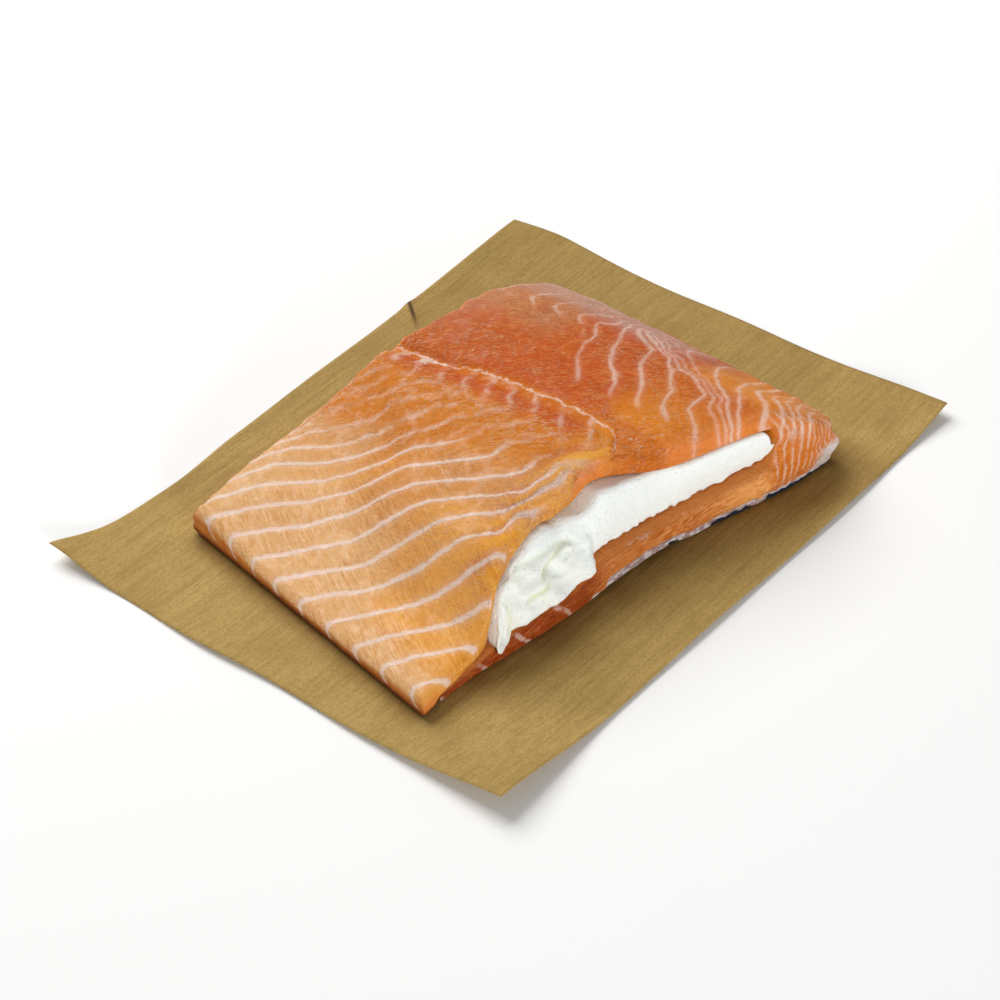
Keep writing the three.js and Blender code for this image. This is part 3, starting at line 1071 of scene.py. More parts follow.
class Effects:
    """Node groups that more than one finish uses."""

    def __init__(self) -> None:
        """Builds each group once."""
        self.mottle = self.build_mottle()
        self.line = self.build_line()
        self.streaks = self.build_streaks()

    @staticmethod
    def new_group(name: str, inputs: dict[str, float], outputs: tuple[str, ...]) -> tuple:
        """Makes an empty group.

        Args:
            name: The group's name.
            inputs: Its number inputs with their defaults.
            outputs: Its number outputs.

        Returns:
            The tree, its node kit, its input node and its output node.
        """
        tree = bpy.data.node_groups.new(name, "ShaderNodeTree")
        for title, value in inputs.items():
            socket = tree.interface.new_socket(title, in_out="INPUT", socket_type="NodeSocketFloat")
            socket.default_value = value
        for title in outputs:
            tree.interface.new_socket(title, in_out="OUTPUT", socket_type="NodeSocketFloat")
        nodes = Nodes(tree)
        return tree, nodes, nodes.add("NodeGroupInput"), nodes.add("NodeGroupOutput")

    def build_mottle(self) -> bpy.types.NodeTree:
        """Builds soft blotches with small ones inside them.

        Returns:
            A group that turns Scale and Contrast into Value, round 0.5.
        """
        tree, nodes, given, result = self.new_group(
            "soft mottle", {"Scale": 0.1, "Contrast": 1.0}, ("Value",)
        )
        coarse = nodes.noise(nodes.place(), given.outputs["Scale"], 4.0, 0.6, 0.3)
        strong = nodes.times(nodes.centred(coarse), given.outputs["Contrast"])
        nodes.feed(result.inputs["Value"], nodes.sum("ADD", strong, 0.5))
        return tree

    def build_line(self) -> bpy.types.NodeTree:
        """Builds a line of given width whose edges wander a little.

        Returns:
            A group that turns Number, Gap, Half Width, Wander and Softness into Mask and Halo.
        """
        tree, nodes, given, result = self.new_group(
            "wandering line",
            {"Number": 0.0, "Gap": 1.0, "Half Width": 0.8, "Wander": 1.0, "Softness": 0.45},
            ("Mask", "Halo"),
        )
        spot = nodes.place()
        gap, soft = given.outputs["Gap"], given.outputs["Softness"]
        wide = nodes.times(nodes.centred(nodes.noise(spot, 0.16, 1.0)), 2.4)
        fine = nodes.times(nodes.centred(nodes.noise(spot, 0.7, 1.0)), 0.7)
        drift = nodes.times(nodes.sum("ADD", wide, fine), given.outputs["Wander"])
        number = nodes.sum("ADD", given.outputs["Number"], nodes.sum("DIVIDE", drift, gap))
        fold = nodes.sum("FRACT", nodes.sum("ADD", number, 0.5))
        away = nodes.times(nodes.sum("ABSOLUTE", nodes.centred(fold)), gap)
        swell = nodes.add_times(nodes.noise(spot, 0.35, 1.0), 1.1, 0.45)
        half = nodes.times(given.outputs["Half Width"], swell)
        low = nodes.largest(nodes.sum("SUBTRACT", half, soft), 0.0)
        high = nodes.sum("ADD", half, soft)
        nodes.feed(result.inputs["Mask"], nodes.span(away, low, high, 1.0, 0.0))
        nodes.feed(result.inputs["Halo"], nodes.span(away, 0.0, 3.2, 1.0, 0.0))
        return tree

    def build_streaks(self) -> bpy.types.NodeTree:
        """Builds noise drawn out along one direction.

        Returns:
            A group that turns Turn, Along and Across into Value.
        """
        tree, nodes, given, result = self.new_group(
            "directional streaks", {"Turn": 0.0, "Along": 0.1, "Across": 1.0}, ("Value",)
        )
        turned = nodes.add(
            "ShaderNodeVectorRotate",
            {"Vector": nodes.place(), "Angle": given.outputs["Turn"]},
            {"rotation_type": "Z_AXIS"},
        ).outputs[0]
        along, across = given.outputs["Along"], given.outputs["Across"]
        scale = nodes.add("ShaderNodeCombineXYZ", {0: along, 1: across, 2: across}).outputs[0]
        drawn = nodes.add(
            "ShaderNodeVectorMath", {0: turned, 1: scale}, {"operation": "MULTIPLY"}
        ).outputs[0]
        nodes.feed(result.inputs["Value"], nodes.noise(drawn, 1.0, 3.0, 0.55, 0.4))
        return tree

    def blotches(self, nodes: Nodes, scale: float, contrast: float) -> bpy.types.NodeSocket:
        """Places the mottle in a material, and gives its value round 0.5."""
        return nodes.group(self.mottle, {"Scale": scale, "Contrast": contrast}).outputs[0]

    def streak(
        self, nodes: Nodes, turn: float, along: float, across: float
    ) -> bpy.types.NodeSocket:
        """Places the streaks in a material.

        Args:
            nodes: The material's nodes.
            turn: Turn about the upright axis, in degrees.
            along: Swellings per millimetre along the turned first axis.
            across: Swellings per millimetre along the other two.

        Returns:
            A value round 0.5.
        """
        values = {"Turn": math.radians(turn), "Along": along, "Across": across}
        return nodes.group(self.streaks, values).outputs[0]


@dataclass(frozen=True)
class FleshFinish:
    """Wet raw salmon: orange muscle, white fat lines, film and dark skin, with painted glints and
    highlights.
    """

    effects: Effects
    fat: Rgb = (252, 222, 204)
    vein: Rgb = (228, 150, 84)
    film: Rgb = (200, 160, 142)
    glint: Rgb = (240, 166, 100)
    spark: Rgb = (252, 208, 176)
    dark: Rgb = (184, 84, 32)
    glow: Rgb = (232, 150, 62)
    navy: Rgb = (30, 36, 54)
    membrane: Rgb = (150, 122, 118)
    white: Rgb = (200, 192, 190)

    def build(self) -> bpy.types.Material:
        """Builds the flesh material.

        Returns:
            The material.
        """
        material, nodes, shader = new_material("wet raw salmon")
        colour, texture = self.muscle(nodes)
        colour, lines = self.fat_lines(nodes, colour)
        colour = self.skin(nodes, colour)
        wet = nodes.noise(nodes.place(), 0.22, 3.0)
        inputs = {
            "Base Color": colour,
            "Roughness": nodes.span(wet, 0.3, 0.7, 0.46, 0.62),
            "Specular IOR Level": 0.09,
            "IOR": 1.36,
            "Coat Weight": nodes.times(nodes.span(wet, 0.50, 0.58), nodes.read("wet")),
            "Coat Roughness": 0.2,
            "Subsurface Weight": 0.18,
            "Subsurface Radius": (1.0, 0.40, 0.16),
            "Subsurface Scale": 0.003,
            "Normal": nodes.bump(nodes.add_times(lines, 0.20, texture), 0.9),
        }
        nodes.feed_all(shader, inputs)
        return material

    def muscle(self, nodes: Nodes) -> tuple[Source, Source]:
        """Builds the orange muscle between the lines.

        Args:
            nodes: The material's nodes.

        Returns:
            The colour, and the height of its low grain.
        """
        spot, ridges_and_glints = nodes.place(), nodes.read("ridges_and_glints")
        colour = nodes.read_colour("flesh")
        blotch = self.effects.blotches(nodes, 0.11, 2.0)
        small = self.effects.blotches(nodes, 0.5, 1.6)
        streaks = {
            "fibre": self.effects.streak(nodes, 30.0, 1.5, 0.13),
            "weave": self.effects.streak(nodes, 51.0, 0.17, 1.1),
            "flow": self.effects.streak(nodes, 42.0, 0.20, 0.75),
            "cut": self.effects.streak(nodes, 0.0, 0.14, 1.35),
        }
        places = {name: nodes.read(name) for name in streaks}

        dark = nodes.times(nodes.span(blotch, 0.45, 1.0), nodes.read("deep"))
        colour = nodes.lay(colour, dark, 0.55, rgba(self.dark, TOP_LIGHT))
        bright = nodes.times(nodes.span(blotch, 0.5, 0.0), nodes.read("amber"))
        colour = nodes.lay(colour, bright, 0.7, rgba(self.glow, TOP_LIGHT))

        patchy = nodes.span(nodes.noise(spot, 0.045, 2.0), 0.38, 0.62, 0.15, 1.0)
        shade = nodes.span(small, 0.1, 0.9, 0.93, 1.07)

        # How far each texture darkens and lightens the flesh
        for name, low, high in (
            ("fibre", -0.16, 0.15), ("weave", -0.12, 0.14), ("flow", -0.16, 0.16), ("cut", -0.40, 0.34),
        ):
            part = nodes.times(nodes.span(streaks[name], 0.36, 0.64, low, high), patchy)
            shade = nodes.times(shade, nodes.add_times(part, places[name], 1.0))
        red, blue = nodes.add_times(shade, 0.5, 0.5), nodes.times(shade, shade)
        warm = nodes.add("ShaderNodeCombineColor", {0: red, 1: shade, 2: blue}).outputs[0]
        colour = nodes.blend(1.0, colour, warm, "MULTIPLY")

        # Where each texture's pale veins start and are full
        pale = nodes.largest(*(
            nodes.times(nodes.span(streaks[name], low, high), places[name])
            for name, low, high in (("weave", 0.57, 0.70), ("flow", 0.58, 0.70), ("cut", 0.60, 0.72))
        ))
        colour = nodes.lay(colour, pale, 0.42, rgba(self.vein, TOP_LIGHT))
        # Fine ridges in the relief, with a painted highlight along their crests
        crest, hollow = self.ridges(nodes, ridges_and_glints)
        broken = nodes.span(nodes.noise(spot, 0.3, 2.0), 0.40, 0.60, 0.1, 1.0)
        crest = nodes.times(crest, broken)
        colour = nodes.lay(colour, crest, 0.50, rgba(self.glint, TOP_LIGHT))
        # Painted glints: small pale flecks in place of wet highlights
        fleck = self.effects.streak(nodes, 51.0, 0.7, 2.0)
        painted_glint = nodes.times(nodes.span(fleck, 0.54, 0.62), patchy, ridges_and_glints)
        colour = nodes.lay(colour, painted_glint, 0.58, rgba(self.spark, TOP_LIGHT))
        film = nodes.span(self.effects.streak(nodes, 76.0, 0.07, 1.1), 0.36, 0.64, 0.45, 0.88)
        film = nodes.times(film, nodes.read("film"))
        colour = nodes.blend(film, colour, rgba(self.film, TOP_LIGHT))

        # The height of each part of the relief, in millimetres
        height = nodes.times(blotch, 0.4)
        rough = [(nodes.noise(spot, 0.9, 2.0, 0.6), 0.45), (small, 0.40)]
        for name, amount in (("fibre", 0.35), ("weave", 0.6), ("flow", 0.5), ("cut", 0.6)):
            rough.append((nodes.times(streaks[name], places[name]), amount))
        rough += [(painted_glint, 0.3), (crest, 0.15), (hollow, -0.06)]
        for noise, amount in rough:
            height = nodes.add_times(noise, amount, height)
        return colour, height

    def ridges(self, nodes: Nodes, ridges_and_glints: Source) -> tuple[Source, Source]:
        """Builds fine ridges and hollows along the loin's fibres.

        Args:
            nodes: The material's nodes.
            ridges_and_glints: Where they show.

        Returns:
            Masks of the ridges' crests and of the hollows beside them.
        """
        ridge = self.effects.streak(nodes, 51.0, 0.12, 0.46)
        # The middle and half width of the bands of noise that count as crest and hollow
        masks = (
            nodes.span(nodes.sum("ABSOLUTE", nodes.centred(ridge, centre)), 0.0, reach, 1.0, 0.0)
            for centre, reach in ((0.515, 0.075), (0.45, 0.05))
        )
        crest, hollow = (nodes.times(mask, ridges_and_glints) for mask in masks)
        return crest, hollow

    def fat_lines(self, nodes: Nodes, colour: Source) -> tuple[Source, Source]:
        """Lays the long lines, short strokes and seam over the muscle.

        Args:
            nodes: The material's nodes.
            colour: The muscle's colour.

        Returns:
            The colour, and a mask of every line.
        """
        spot = nodes.place()
        long_lines = nodes.group(
            self.effects.line,
            {
                "Number": nodes.read("line_number"),
                "Gap": nodes.read("line_gap"),
                "Half Width": nodes.read("line_half"),
                "Wander": nodes.read("line_wander"),
                "Softness": nodes.read("line_soft"),
            },
        )
        gone = nodes.span(nodes.noise(spot, 0.13, 3.0, 0.6), 0.56, 0.40, 0.0, 0.75)
        gone = nodes.times(gone, nodes.span(nodes.read("line_soft"), 0.4, 1.0))
        power = nodes.times(nodes.read("line_power"), nodes.sum("SUBTRACT", 1.0, gone))
        long_mask = nodes.times(long_lines.outputs["Mask"], power)
        halo = nodes.times(long_lines.outputs["Halo"], power)
        short_lines = nodes.group(
            self.effects.line,
            {
                "Number": nodes.read("short_number"),
                "Gap": nodes.read("short_gap"),
                "Half Width": nodes.read("short_half"),
                "Wander": 0.7,
                "Softness": 0.4,
            },
        )
        broken = nodes.span(nodes.noise(spot, 0.25, 2.0), 0.34, 0.52, 0.25, 1.0)
        short_mask = nodes.times(short_lines.outputs["Mask"], nodes.read("short_power"), broken)

        wobble = nodes.centred(nodes.noise(spot, 0.28, 4.0, 0.65))
        far = nodes.add_times(wobble, 4.5, nodes.read("seam_away"))
        half = nodes.add_times(nodes.noise(spot, 0.45, 2.0), 1.2, -0.1)
        half = nodes.times(nodes.read("seam_half"), half)
        wide = nodes.sum("ADD", half, 0.35)
        seam = nodes.span(nodes.sum("ABSOLUTE", far), nodes.times(half, 0.6), wide, 1.0, 0.0)
        ragged = nodes.span(nodes.noise(spot, 0.3, 3.0), 0.32, 0.5, 0.3, 1.0)
        seam = nodes.times(seam, nodes.times(nodes.read("seam_power"), ragged))

        fat = rgba(self.fat, TOP_LIGHT)
        for mask, amount in ((halo, 0.20), (short_mask, 0.9), (long_mask, 0.9), (seam, 0.9)):
            colour = nodes.lay(colour, mask, amount, fat)
        return colour, nodes.largest(long_mask, short_mask, seam)

    def skin(self, nodes: Nodes, colour: Source) -> Source:
        """Lays the torn edge of skin along the foot of the cut front.

        Args:
            nodes: The material's nodes.
            colour: The flesh's colour.

        Returns:
            The colour with the skin.
        """
        spot = nodes.place()
        rag = nodes.centred(nodes.noise(spot, 0.3, 3.0))
        above = nodes.add_times(rag, 3.5, nodes.read("skin"))
        mask = nodes.span(above, -0.4, 0.4)
        streak = self.effects.streak(nodes, 0.0, 0.25, 1.1)
        tone = nodes.blend(
            nodes.span(streak, 0.42, 0.62), rgba(self.membrane, FRONT_LIGHT),
            rgba(self.white, FRONT_LIGHT),
        )
        deep = nodes.add_times(rag, 2.2, nodes.read("navy"))
        tone = nodes.blend(nodes.span(deep, 0.1, 0.5), tone, rgba(self.navy, FRONT_LIGHT))
        return nodes.blend(mask, colour, tone)


@dataclass(frozen=True)
class CheeseFinish:
    """Soft fresh cheese: cool white, slightly pitted, with yellow in its creases and painted shade along the
    lump's border and under the salmon's lip.
    """

    effects: Effects
    white: Rgb = (246, 253, 250)
    cream: Rgb = (238, 237, 216)
    crease_yellow_and_border_shade: Rgb = (208, 208, 140)
    # Colour of the painted shade under the salmon's lip
    shaded: Rgb = (246, 236, 208)

    def build(self) -> bpy.types.Material:
        """Builds the cheese material.

        Returns:
            The material.
        """
        material, nodes, shader = new_material("soft white cheese")
        spot = nodes.place()
        tone = self.effects.blotches(nodes, 0.12, 1.6)
        fine = self.effects.blotches(nodes, 0.8, 1.4)
        cream = nodes.sum("ADD", nodes.read("cream"), nodes.span(tone, 0.5, 1.0, 0.0, 0.3))
        colour = nodes.blend(cream, rgba(self.white), rgba(self.cream))
        for name, shade in (("crease_yellow_and_border_shade", self.crease_yellow_and_border_shade), ("shaded", self.shaded)):
            colour = nodes.blend(nodes.read(name), colour, rgba(shade))
        pits = nodes.add(
            "ShaderNodeTexVoronoi", {"Vector": spot, "Scale": 0.5, "Randomness": 1.0}
        ).outputs["Distance"]
        height = nodes.add_times(fine, 0.45, nodes.span(pits, 0.05, 0.28, -0.6, 0.0))
        height = nodes.add_times(nodes.noise(spot, 2.0, 2.0), 0.2, height)
        inputs = {
            "Base Color": colour,
            "Roughness": nodes.span(fine, 0.2, 0.8, 0.45, 0.62),
            "IOR": 1.4,
            "Subsurface Weight": 0.3,
            "Subsurface Radius": (1.0, 0.9, 0.7),
            "Subsurface Scale": 0.003,
            "Normal": nodes.bump(height, 0.5),
        }
        nodes.feed_all(shader, inputs)
        return material


@dataclass(frozen=True)
class PaperFinish:
    """Brown kraft paper with soft ribs along the sheet and a fine grain, and painted shade round the fish.
    """

    effects: Effects
    brown: Rgb = (188, 156, 90)
    light: Rgb = (202, 169, 101)
    dark: Rgb = (140, 110, 55)
    # Colour of the painted shade along the pleat's crease
    crease: Rgb = (96, 72, 36)
    # Colour of the painted shade on the paper round the fish
    painted_shade: Rgb = (128, 92, 38)

    def build(self) -> bpy.types.Material:
        """Builds the paper material.

        Returns:
            The material.
        """
        material, nodes, shader = new_material("brown kraft paper")
        cloud = self.effects.blotches(nodes, 0.03, 1.6)
        ribs = self.effects.streak(nodes, 0.0, 0.018, 0.30)
        fine = self.effects.streak(nodes, 0.0, 0.05, 0.9)
        grain = nodes.noise(nodes.place((0.7, 1.7, 1.7)), 1.0, 4.0, 0.75)
        brown, light, dark, crease, painted_shade = (
            rgba(shade, TOP_LIGHT)
            for shade in (self.brown, self.light, self.dark, self.crease, self.painted_shade)
        )
        colour = nodes.blend(nodes.span(cloud, 0.2, 0.8), brown, light)
        for noise, low, high, amount in (
            (ribs, 0.40, 0.70, 0.20), (fine, 0.42, 0.66, 0.26), (grain, 0.42, 0.66, 0.46),
        ):
            colour = nodes.blend(nodes.span(noise, low, high, 0.0, amount), colour, dark)
        # Painted shade round the fish, broken up a little by blotches
        blot = nodes.span(nodes.noise(nodes.place(), 0.05, 3.0), 0.3, 0.7, 0.7, 1.0)
        colour = nodes.blend(nodes.times(nodes.read("painted_shade"), blot), colour, painted_shade)
        # Painted shade along the crease of the small pleat
        away = nodes.sum("ABSOLUTE", nodes.read("crease_away"))
        line = nodes.times(nodes.span(away, 0.3, 1.7, 1.0, 0.0), nodes.read("crease_shade_power"))
        colour = nodes.blend(line, colour, crease)
        height = nodes.add_times(grain, 0.12, nodes.add_times(fine, 0.22, nodes.times(ribs, 0.45)))
        inputs = {
            "Base Color": colour,
            "Roughness": nodes.span(grain, 0.3, 0.7, 0.74, 0.88),
            "Specular IOR Level": 0.22,
            "Normal": nodes.bump(height, 0.7),
        }
        nodes.feed_all(shader, inputs)
        return material


# Pieces


class Grid:
    """The fillet's points before relief, and which part of the fish each belongs to.

    The parts are shares from 0 to 1: upper and lower leaf, outer side, front and rear cut, top,
    right wall and the lower leaf's cut front. Of the lengths, lip is the way back from the upper
    leaf's front edge, drop the way down from the top, high_y the y at which the fat lines are
    read and ring the distance from the middle of the rings on the cut right end.
    """

    def __init__(
        self, places: Array, normals: Array, share: Array, along: Array, out: Array, form: FishForm
    ) -> None:
        """Works out the parts.

        Args:
            places: The points in the fish's frame.
            normals: The way each point faces.
            share: Shares along the fold.
            along: Shares from front to rear.
            out: Shares outwards.
            form: The fish's form.
        """
        self.places, self.normals = places, normals
        self.x, self.y, self.z = x, y, z = places.T
        self.share, self.along, self.out = share, along, out
        facing_x, facing_y, _ = normals.T
        self.upper = smooth((share - 0.42) / 0.06)
        self.lower = 1 - self.upper
        self.outer = smooth((out - 0.4) / 0.3)
        self.front = smooth((-facing_y - 0.45) / 0.3) * (along < 0.4)
        self.rear = smooth((facing_y - 0.45) / 0.3) * (along > 0.6)
        self.top = self.upper * self.outer * (1 - self.front) * (1 - self.rear)
        wall = smooth((facing_x - 0.55) / 0.25) * smooth((x - 60) / 6)
        self.wall = wall * self.outer * (1 - self.front) * (1 - self.rear)
        self.leaf = self.lower * self.front
        self.lip = y - form.lip_y(x)
        self.drop = np.maximum(form.top(x, y) - z, 0) * self.upper
        self.lean = smooth((form.rim_x(y) + 16 - x) / 8) * smooth((facing_y + 0.6) / 0.4)
        self.high_y = y + self.drop * self.lean
        self.ring = np.hypot(x - 30, (z - 20) * 0.9)


@dataclass
class SalmonFillet:
    """The folded fillet, dressed with relief, fat lines, seam, film and skin."""

    form: FishForm
    lines: FatLines
    divisions: tuple[int, int, int] = (320, 130, 10)

    # Shares of the grid's columns up to the leaves' ends, and of its rows in each rounded edge
    column_ends: tuple[float, float] = (0.28, 0.43)
    row_cap: float = 0.07

    # Lengths: the highest point, the flap's right side, the rings, the step and the flakes
    top_limit: float = 42.4
    flap_limit: float = 3.0
    ring_gap: float = 2.6
    step_depth: float = 1.3
    flake_height: float = 0.55

    # Heights on the cut front: the seam in the lower leaf, the torn skin's top, the cheese's foot
    leaf_seam_z: Curve = Curve((-22, -20, -18, -10, 0, 12), (22, 16, 12.5, 11.5, 11.5, 12))
    skin_z: Curve = Curve(
        (-112, -60, -32, -24, -12, 0, 8, 20, 40, 70, 90),
        (-1.5, -0.6, 1.6, 4.6, 5.6, 4.4, 3.0, 3.4, 2.8, 2.8, 3.4),
    )
    cheese_z: Curve = Curve(
        (-112, -76, -70, -44, -36, -30, 0, 44, 60), (8, 8, 10, 12, 18, 21.6, 19.6, 20.8, 20)
    )

    # Colours as they are seen in the light
    flap_pale: Rgb = (240, 190, 136)
    flap_middle: Rgb = (228, 160, 98)
    flap_slope_painted_light: Rgb = (246, 178, 98)
    pillow: Rgb = (220, 134, 60)
    beside_seam: Rgb = (209, 100, 24)
    loin_dark: Rgb = (206, 101, 24)
    loin_front: Rgb = (213, 110, 24)
    loin_rear: Rgb = (204, 106, 14)
    loin_right: Rgb = (204, 94, 22)
    loin_end: Rgb = (240, 146, 38)
    loin_back: Rgb = (204, 134, 94)
    belly: Rgb = (238, 150, 48)
    amber: Rgb = (243, 172, 84)
    rim_side: Rgb = (234, 152, 86)
    painted_straw_highlight: Rgb = (252, 216, 146)
    painted_lip_highlight: Rgb = (246, 172, 66)
    strip: Rgb = (216, 122, 50)
    leaf: Rgb = (192, 116, 58)
    leaf_sheen: Rgb = (222, 154, 92)
    leaf_left: Rgb = (144, 64, 24)
    leaf_right: Rgb = (230, 158, 90)
    end_cut: Rgb = (203, 115, 42)
    cut_rear: Rgb = (204, 122, 66)
    painted_contact_shade: Rgb = (104, 46, 16)
    tag: Rgb = (206, 200, 196)

    def build(self, finish: FleshFinish) -> bpy.types.Object:
        """Builds and dresses the fillet.

        Args:
            finish: The flesh finish.

        Returns:
            The piece.
        """
        piece, cells = grid_block("salmon_fillet_dressed", self.divisions)
        form, cap = self.form, self.form.cap_share
        share = np.interp(
            cells[:, 0], [0, *self.column_ends, 1], [0, form.lower_end, form.upper_start, 1]
        )
        rows = [0, self.row_cap, 1 - self.row_cap, 1]
        along = np.interp(1 - cells[:, 1], rows, [0, cap, 1 - cap, 1])
        out = cells[:, 2]
        places = form.points(share, along, out)
        write_points(piece.data, to_part(places))
        grid = Grid(places, read_normals(piece.data), share, along, out, form)
        self.write_long_lines(piece.data, grid)
        self.write_short_lines(piece.data, grid)
        self.write_textures(piece.data, grid)
        self.write_flesh(piece.data, grid)
        write_points(piece.data, to_part(self.relief(grid)))
        piece.data.materials.append(finish.build())
        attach(piece, "root")
        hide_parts("salmon_fillet")
        return piece

    def step(self, grid: Grid) -> Array:
        """Is 1 in front of the line where the flap's muscle ends above the lip."""
        before = smooth((self.lines.flap_end(grid.x) - grid.y) / 1.4)
        return grid.upper * before * band(grid.x, -32, 3, 5)

    def between(self, grid: Grid) -> Array:
        """Rises from -1 on each of the flap's lines to 1 half-way to the next."""
        return -np.cos(math.tau * self.lines.flap(grid.x, grid.high_y))

    def relief(self, grid: Grid) -> Array:
        """Moves the points outwards or inwards for the low relief.

        Args:
            grid: The fillet's points.

        Returns:
            The moved points, one row each.
        """
        x, y, z, lip, places = grid.x, grid.y, grid.z, grid.lip, grid.places
        form, lines = self.form, self.lines
        up = smooth((grid.normals[:, 2] - 0.1) / 0.4) * (grid.out > 0.5)
        flap = up * smooth((-12 - x) / 10)
        loin = up * smooth((x - 10) / 8)
        number = lines.flap(x, grid.high_y)
        away = np.abs(number - np.round(number)) * lines.gap(lines.flap, x, grid.high_y)
        fade = mix(1.0, 0.4, smooth((x + 46 + 0.2 * y) / 16))
        at_lip = up * band(x, -72, -6, 8)
        # Where the flesh swells, how far, how long the swellings are and the noise's seed
        swellings = (
            (up, 0.40, 13.0, 3),
            (up, 0.22, 5.0, 4),
            (up, 0.12, 2.0, 5),
            (at_lip * hump(lip, 8, 9), 1.4, (8.0, 6.0, 9.0), 15),
            (grid.leaf, 0.45, (11.0, 6.0, 2.6), 7),
            (grid.leaf, 0.16, 2.0, 8),
            (grid.front * grid.upper, 0.25, (8.0, 5.0, 3.0), 9),
            (grid.rear, 0.5, (3.0, 4.0, 3.0), 10),
        )
        move = sum(mask * height * grain(places, size, seed) for mask, height, size, seed in swellings)
        move += flap * fade * (0.10 - 0.42 * hump(away, 0, 1.0))
        flake = lines.loin(x, y)
        move += loin * self.flake_height * (0.5 - (flake - np.floor(flake)))
        seam = x - lines.seam_x(y)
        move -= grid.top * 0.5 * hump(seam, 1.2, 1.3) * band(y, -44, 50, 6)
        move += grid.top * 0.45 * hump(away, 0, 1.4) * band(x, -14, -1, 4)
        move -= self.step_depth * self.step(grid) * up
        move += at_lip * 0.5 * hump(lip, 3.0, 2.5)
        between = self.between(grid)
        move += at_lip * 0.5 * hump(lip, 4.0, 5.0) * between
        rings = np.cos(math.tau * grid.ring / self.ring_gap)
        move += grid.front * smooth((x - 44) / 6) * 0.16 * rings
        places = places + grid.normals * move[:, None]
        ragged = (2.0 * grain(grid.places, (7.0, 40.0, 40.0), 16) - 0.8 * between) * hump(lip, 0, 5)
        places[:, 1] += ragged * grid.upper * band(x, -66, -12, 8) * smooth(grid.out)
        foot = smooth((form.foot_y(x) + 16 - y) / 14) * grid.lower * smooth(grid.out)
        places[:, 2] += 1.5 * foot * band(x, -36, 6, 12)
        tag = grid.leaf * band(x, 62, 90, 6) * band(z, 0, 11, 4)
        ragged = np.clip(0.5 + grain(grid.places, (3.0, 3.0, 2.4), 21), 0, 1) * tag
        places += ragged[:, None] * np.array([2.2, -1.4, 0.0])
        places[:, 2] = np.clip(places[:, 2], FISH_Z, self.top_limit)
        return places

    def write_long_lines(self, mesh: bpy.types.Mesh, grid: Grid) -> None:
        """Stores where the long fat lines run, those of the flap up to the seam.

        Args:
            mesh: The fillet's mesh.
            grid: The fillet's points.
        """
        flap, loin = self.flap_lines(grid), self.loin_lines(grid)
        on_flap = grid.x < self.flap_limit
        write_values(mesh, {name: np.where(on_flap, flap[name], loin[name]) for name in flap})

    def flap_lines(self, grid: Grid) -> dict[str, Array]:
        """Works out the flap's lines.

        Args:
            grid: The fillet's points.

        Returns:
            Their number, gap, strength, half width, wander and softness, by stored name.
        """
        x, y, lines, high_y = grid.x, grid.y, self.lines, grid.high_y
        far = smooth((x + 46 + 0.2 * y) / 16)
        knee = mix(mix(1.0, 0.45, far), 0.24, smooth((x + 34) / 10))
        stroke = smooth((x + 15) / 5) * smooth((lines.seam_x(y) + 0.5 - x) / 1.5) * band(y, -46, 46, 8)
        stroke *= mix(0.42, 1.0, band(y, 25, 41, 5))
        power = grid.upper * grid.outer * np.maximum(knee * smooth((-10 - x) / 4), stroke)
        power *= 1 - 0.8 * self.step(grid)
        power *= 1 - 0.85 * smooth((grid.drop - 2) / 2.5) * (1 - grid.lean)
        lip_near = hump(y, self.form.lip_y(x) + 3, 5) * band(x, -75, -20, 8)
        half = mix(mix(0.82, 0.56, smooth((x + 90) / 40)), 0.80, lip_near)
        half = half + 0.55 * band(x, -34, -18, 6) + 0.3 * band(x, -14, 0, 4)
        half += 0.8 * band(x, -12, 0, 4) * band(y, 25, 41, 5)
        return {
            "line_number": lines.flap(x, high_y),
            "line_gap": lines.gap(lines.flap, x, high_y),
            "line_power": power,
            "line_half": half,
            "line_wander": mix(0.6, 2.2, far),
            "line_soft": mix(0.40, 1.0, far),
        }

    def loin_lines(self, grid: Grid) -> dict[str, Array | float]:
        """Works out the loin's lines, which run on down the right wall.

        Args:
            grid: The fillet's points.

        Returns:
            The same as for the flap's lines.
        """
        x, y, wall, lines = grid.x, grid.y, grid.wall, self.lines
        wall_y = y + 0.5 * wall * (28 - grid.z)
        number = lines.loin(x, wall_y)
        faces = grid.top * (1 - wall) + 1.1 * grid.front * grid.upper + 0.6 * wall
        low = smooth((0.45 * (x - 24) - 8 - y) / 8)
        curls = 0.8 * band(x, 41, 53, 5) * band(y, -2, 42, 6)
        power = faces * smooth((x - 9) / 8) * np.maximum(np.maximum(low, curls), wall)
        power *= 1 - 0.6 * smooth((x - 54) / 6) * smooth((y + 34) / 10)
        power = power * (1 - 0.45 * hump(number, 5.5, 0.9))
        return {
            "line_number": number,
            "line_gap": lines.gap(lines.loin, x, wall_y),
            "line_power": 0.6 * power,
            "line_half": 0.5 + 0.5 * hump(number, 9, 0.5) + 0.15 * band(y, -62, -12, 8),
            "line_wander": 1.0,
            "line_soft": 0.65,
        }

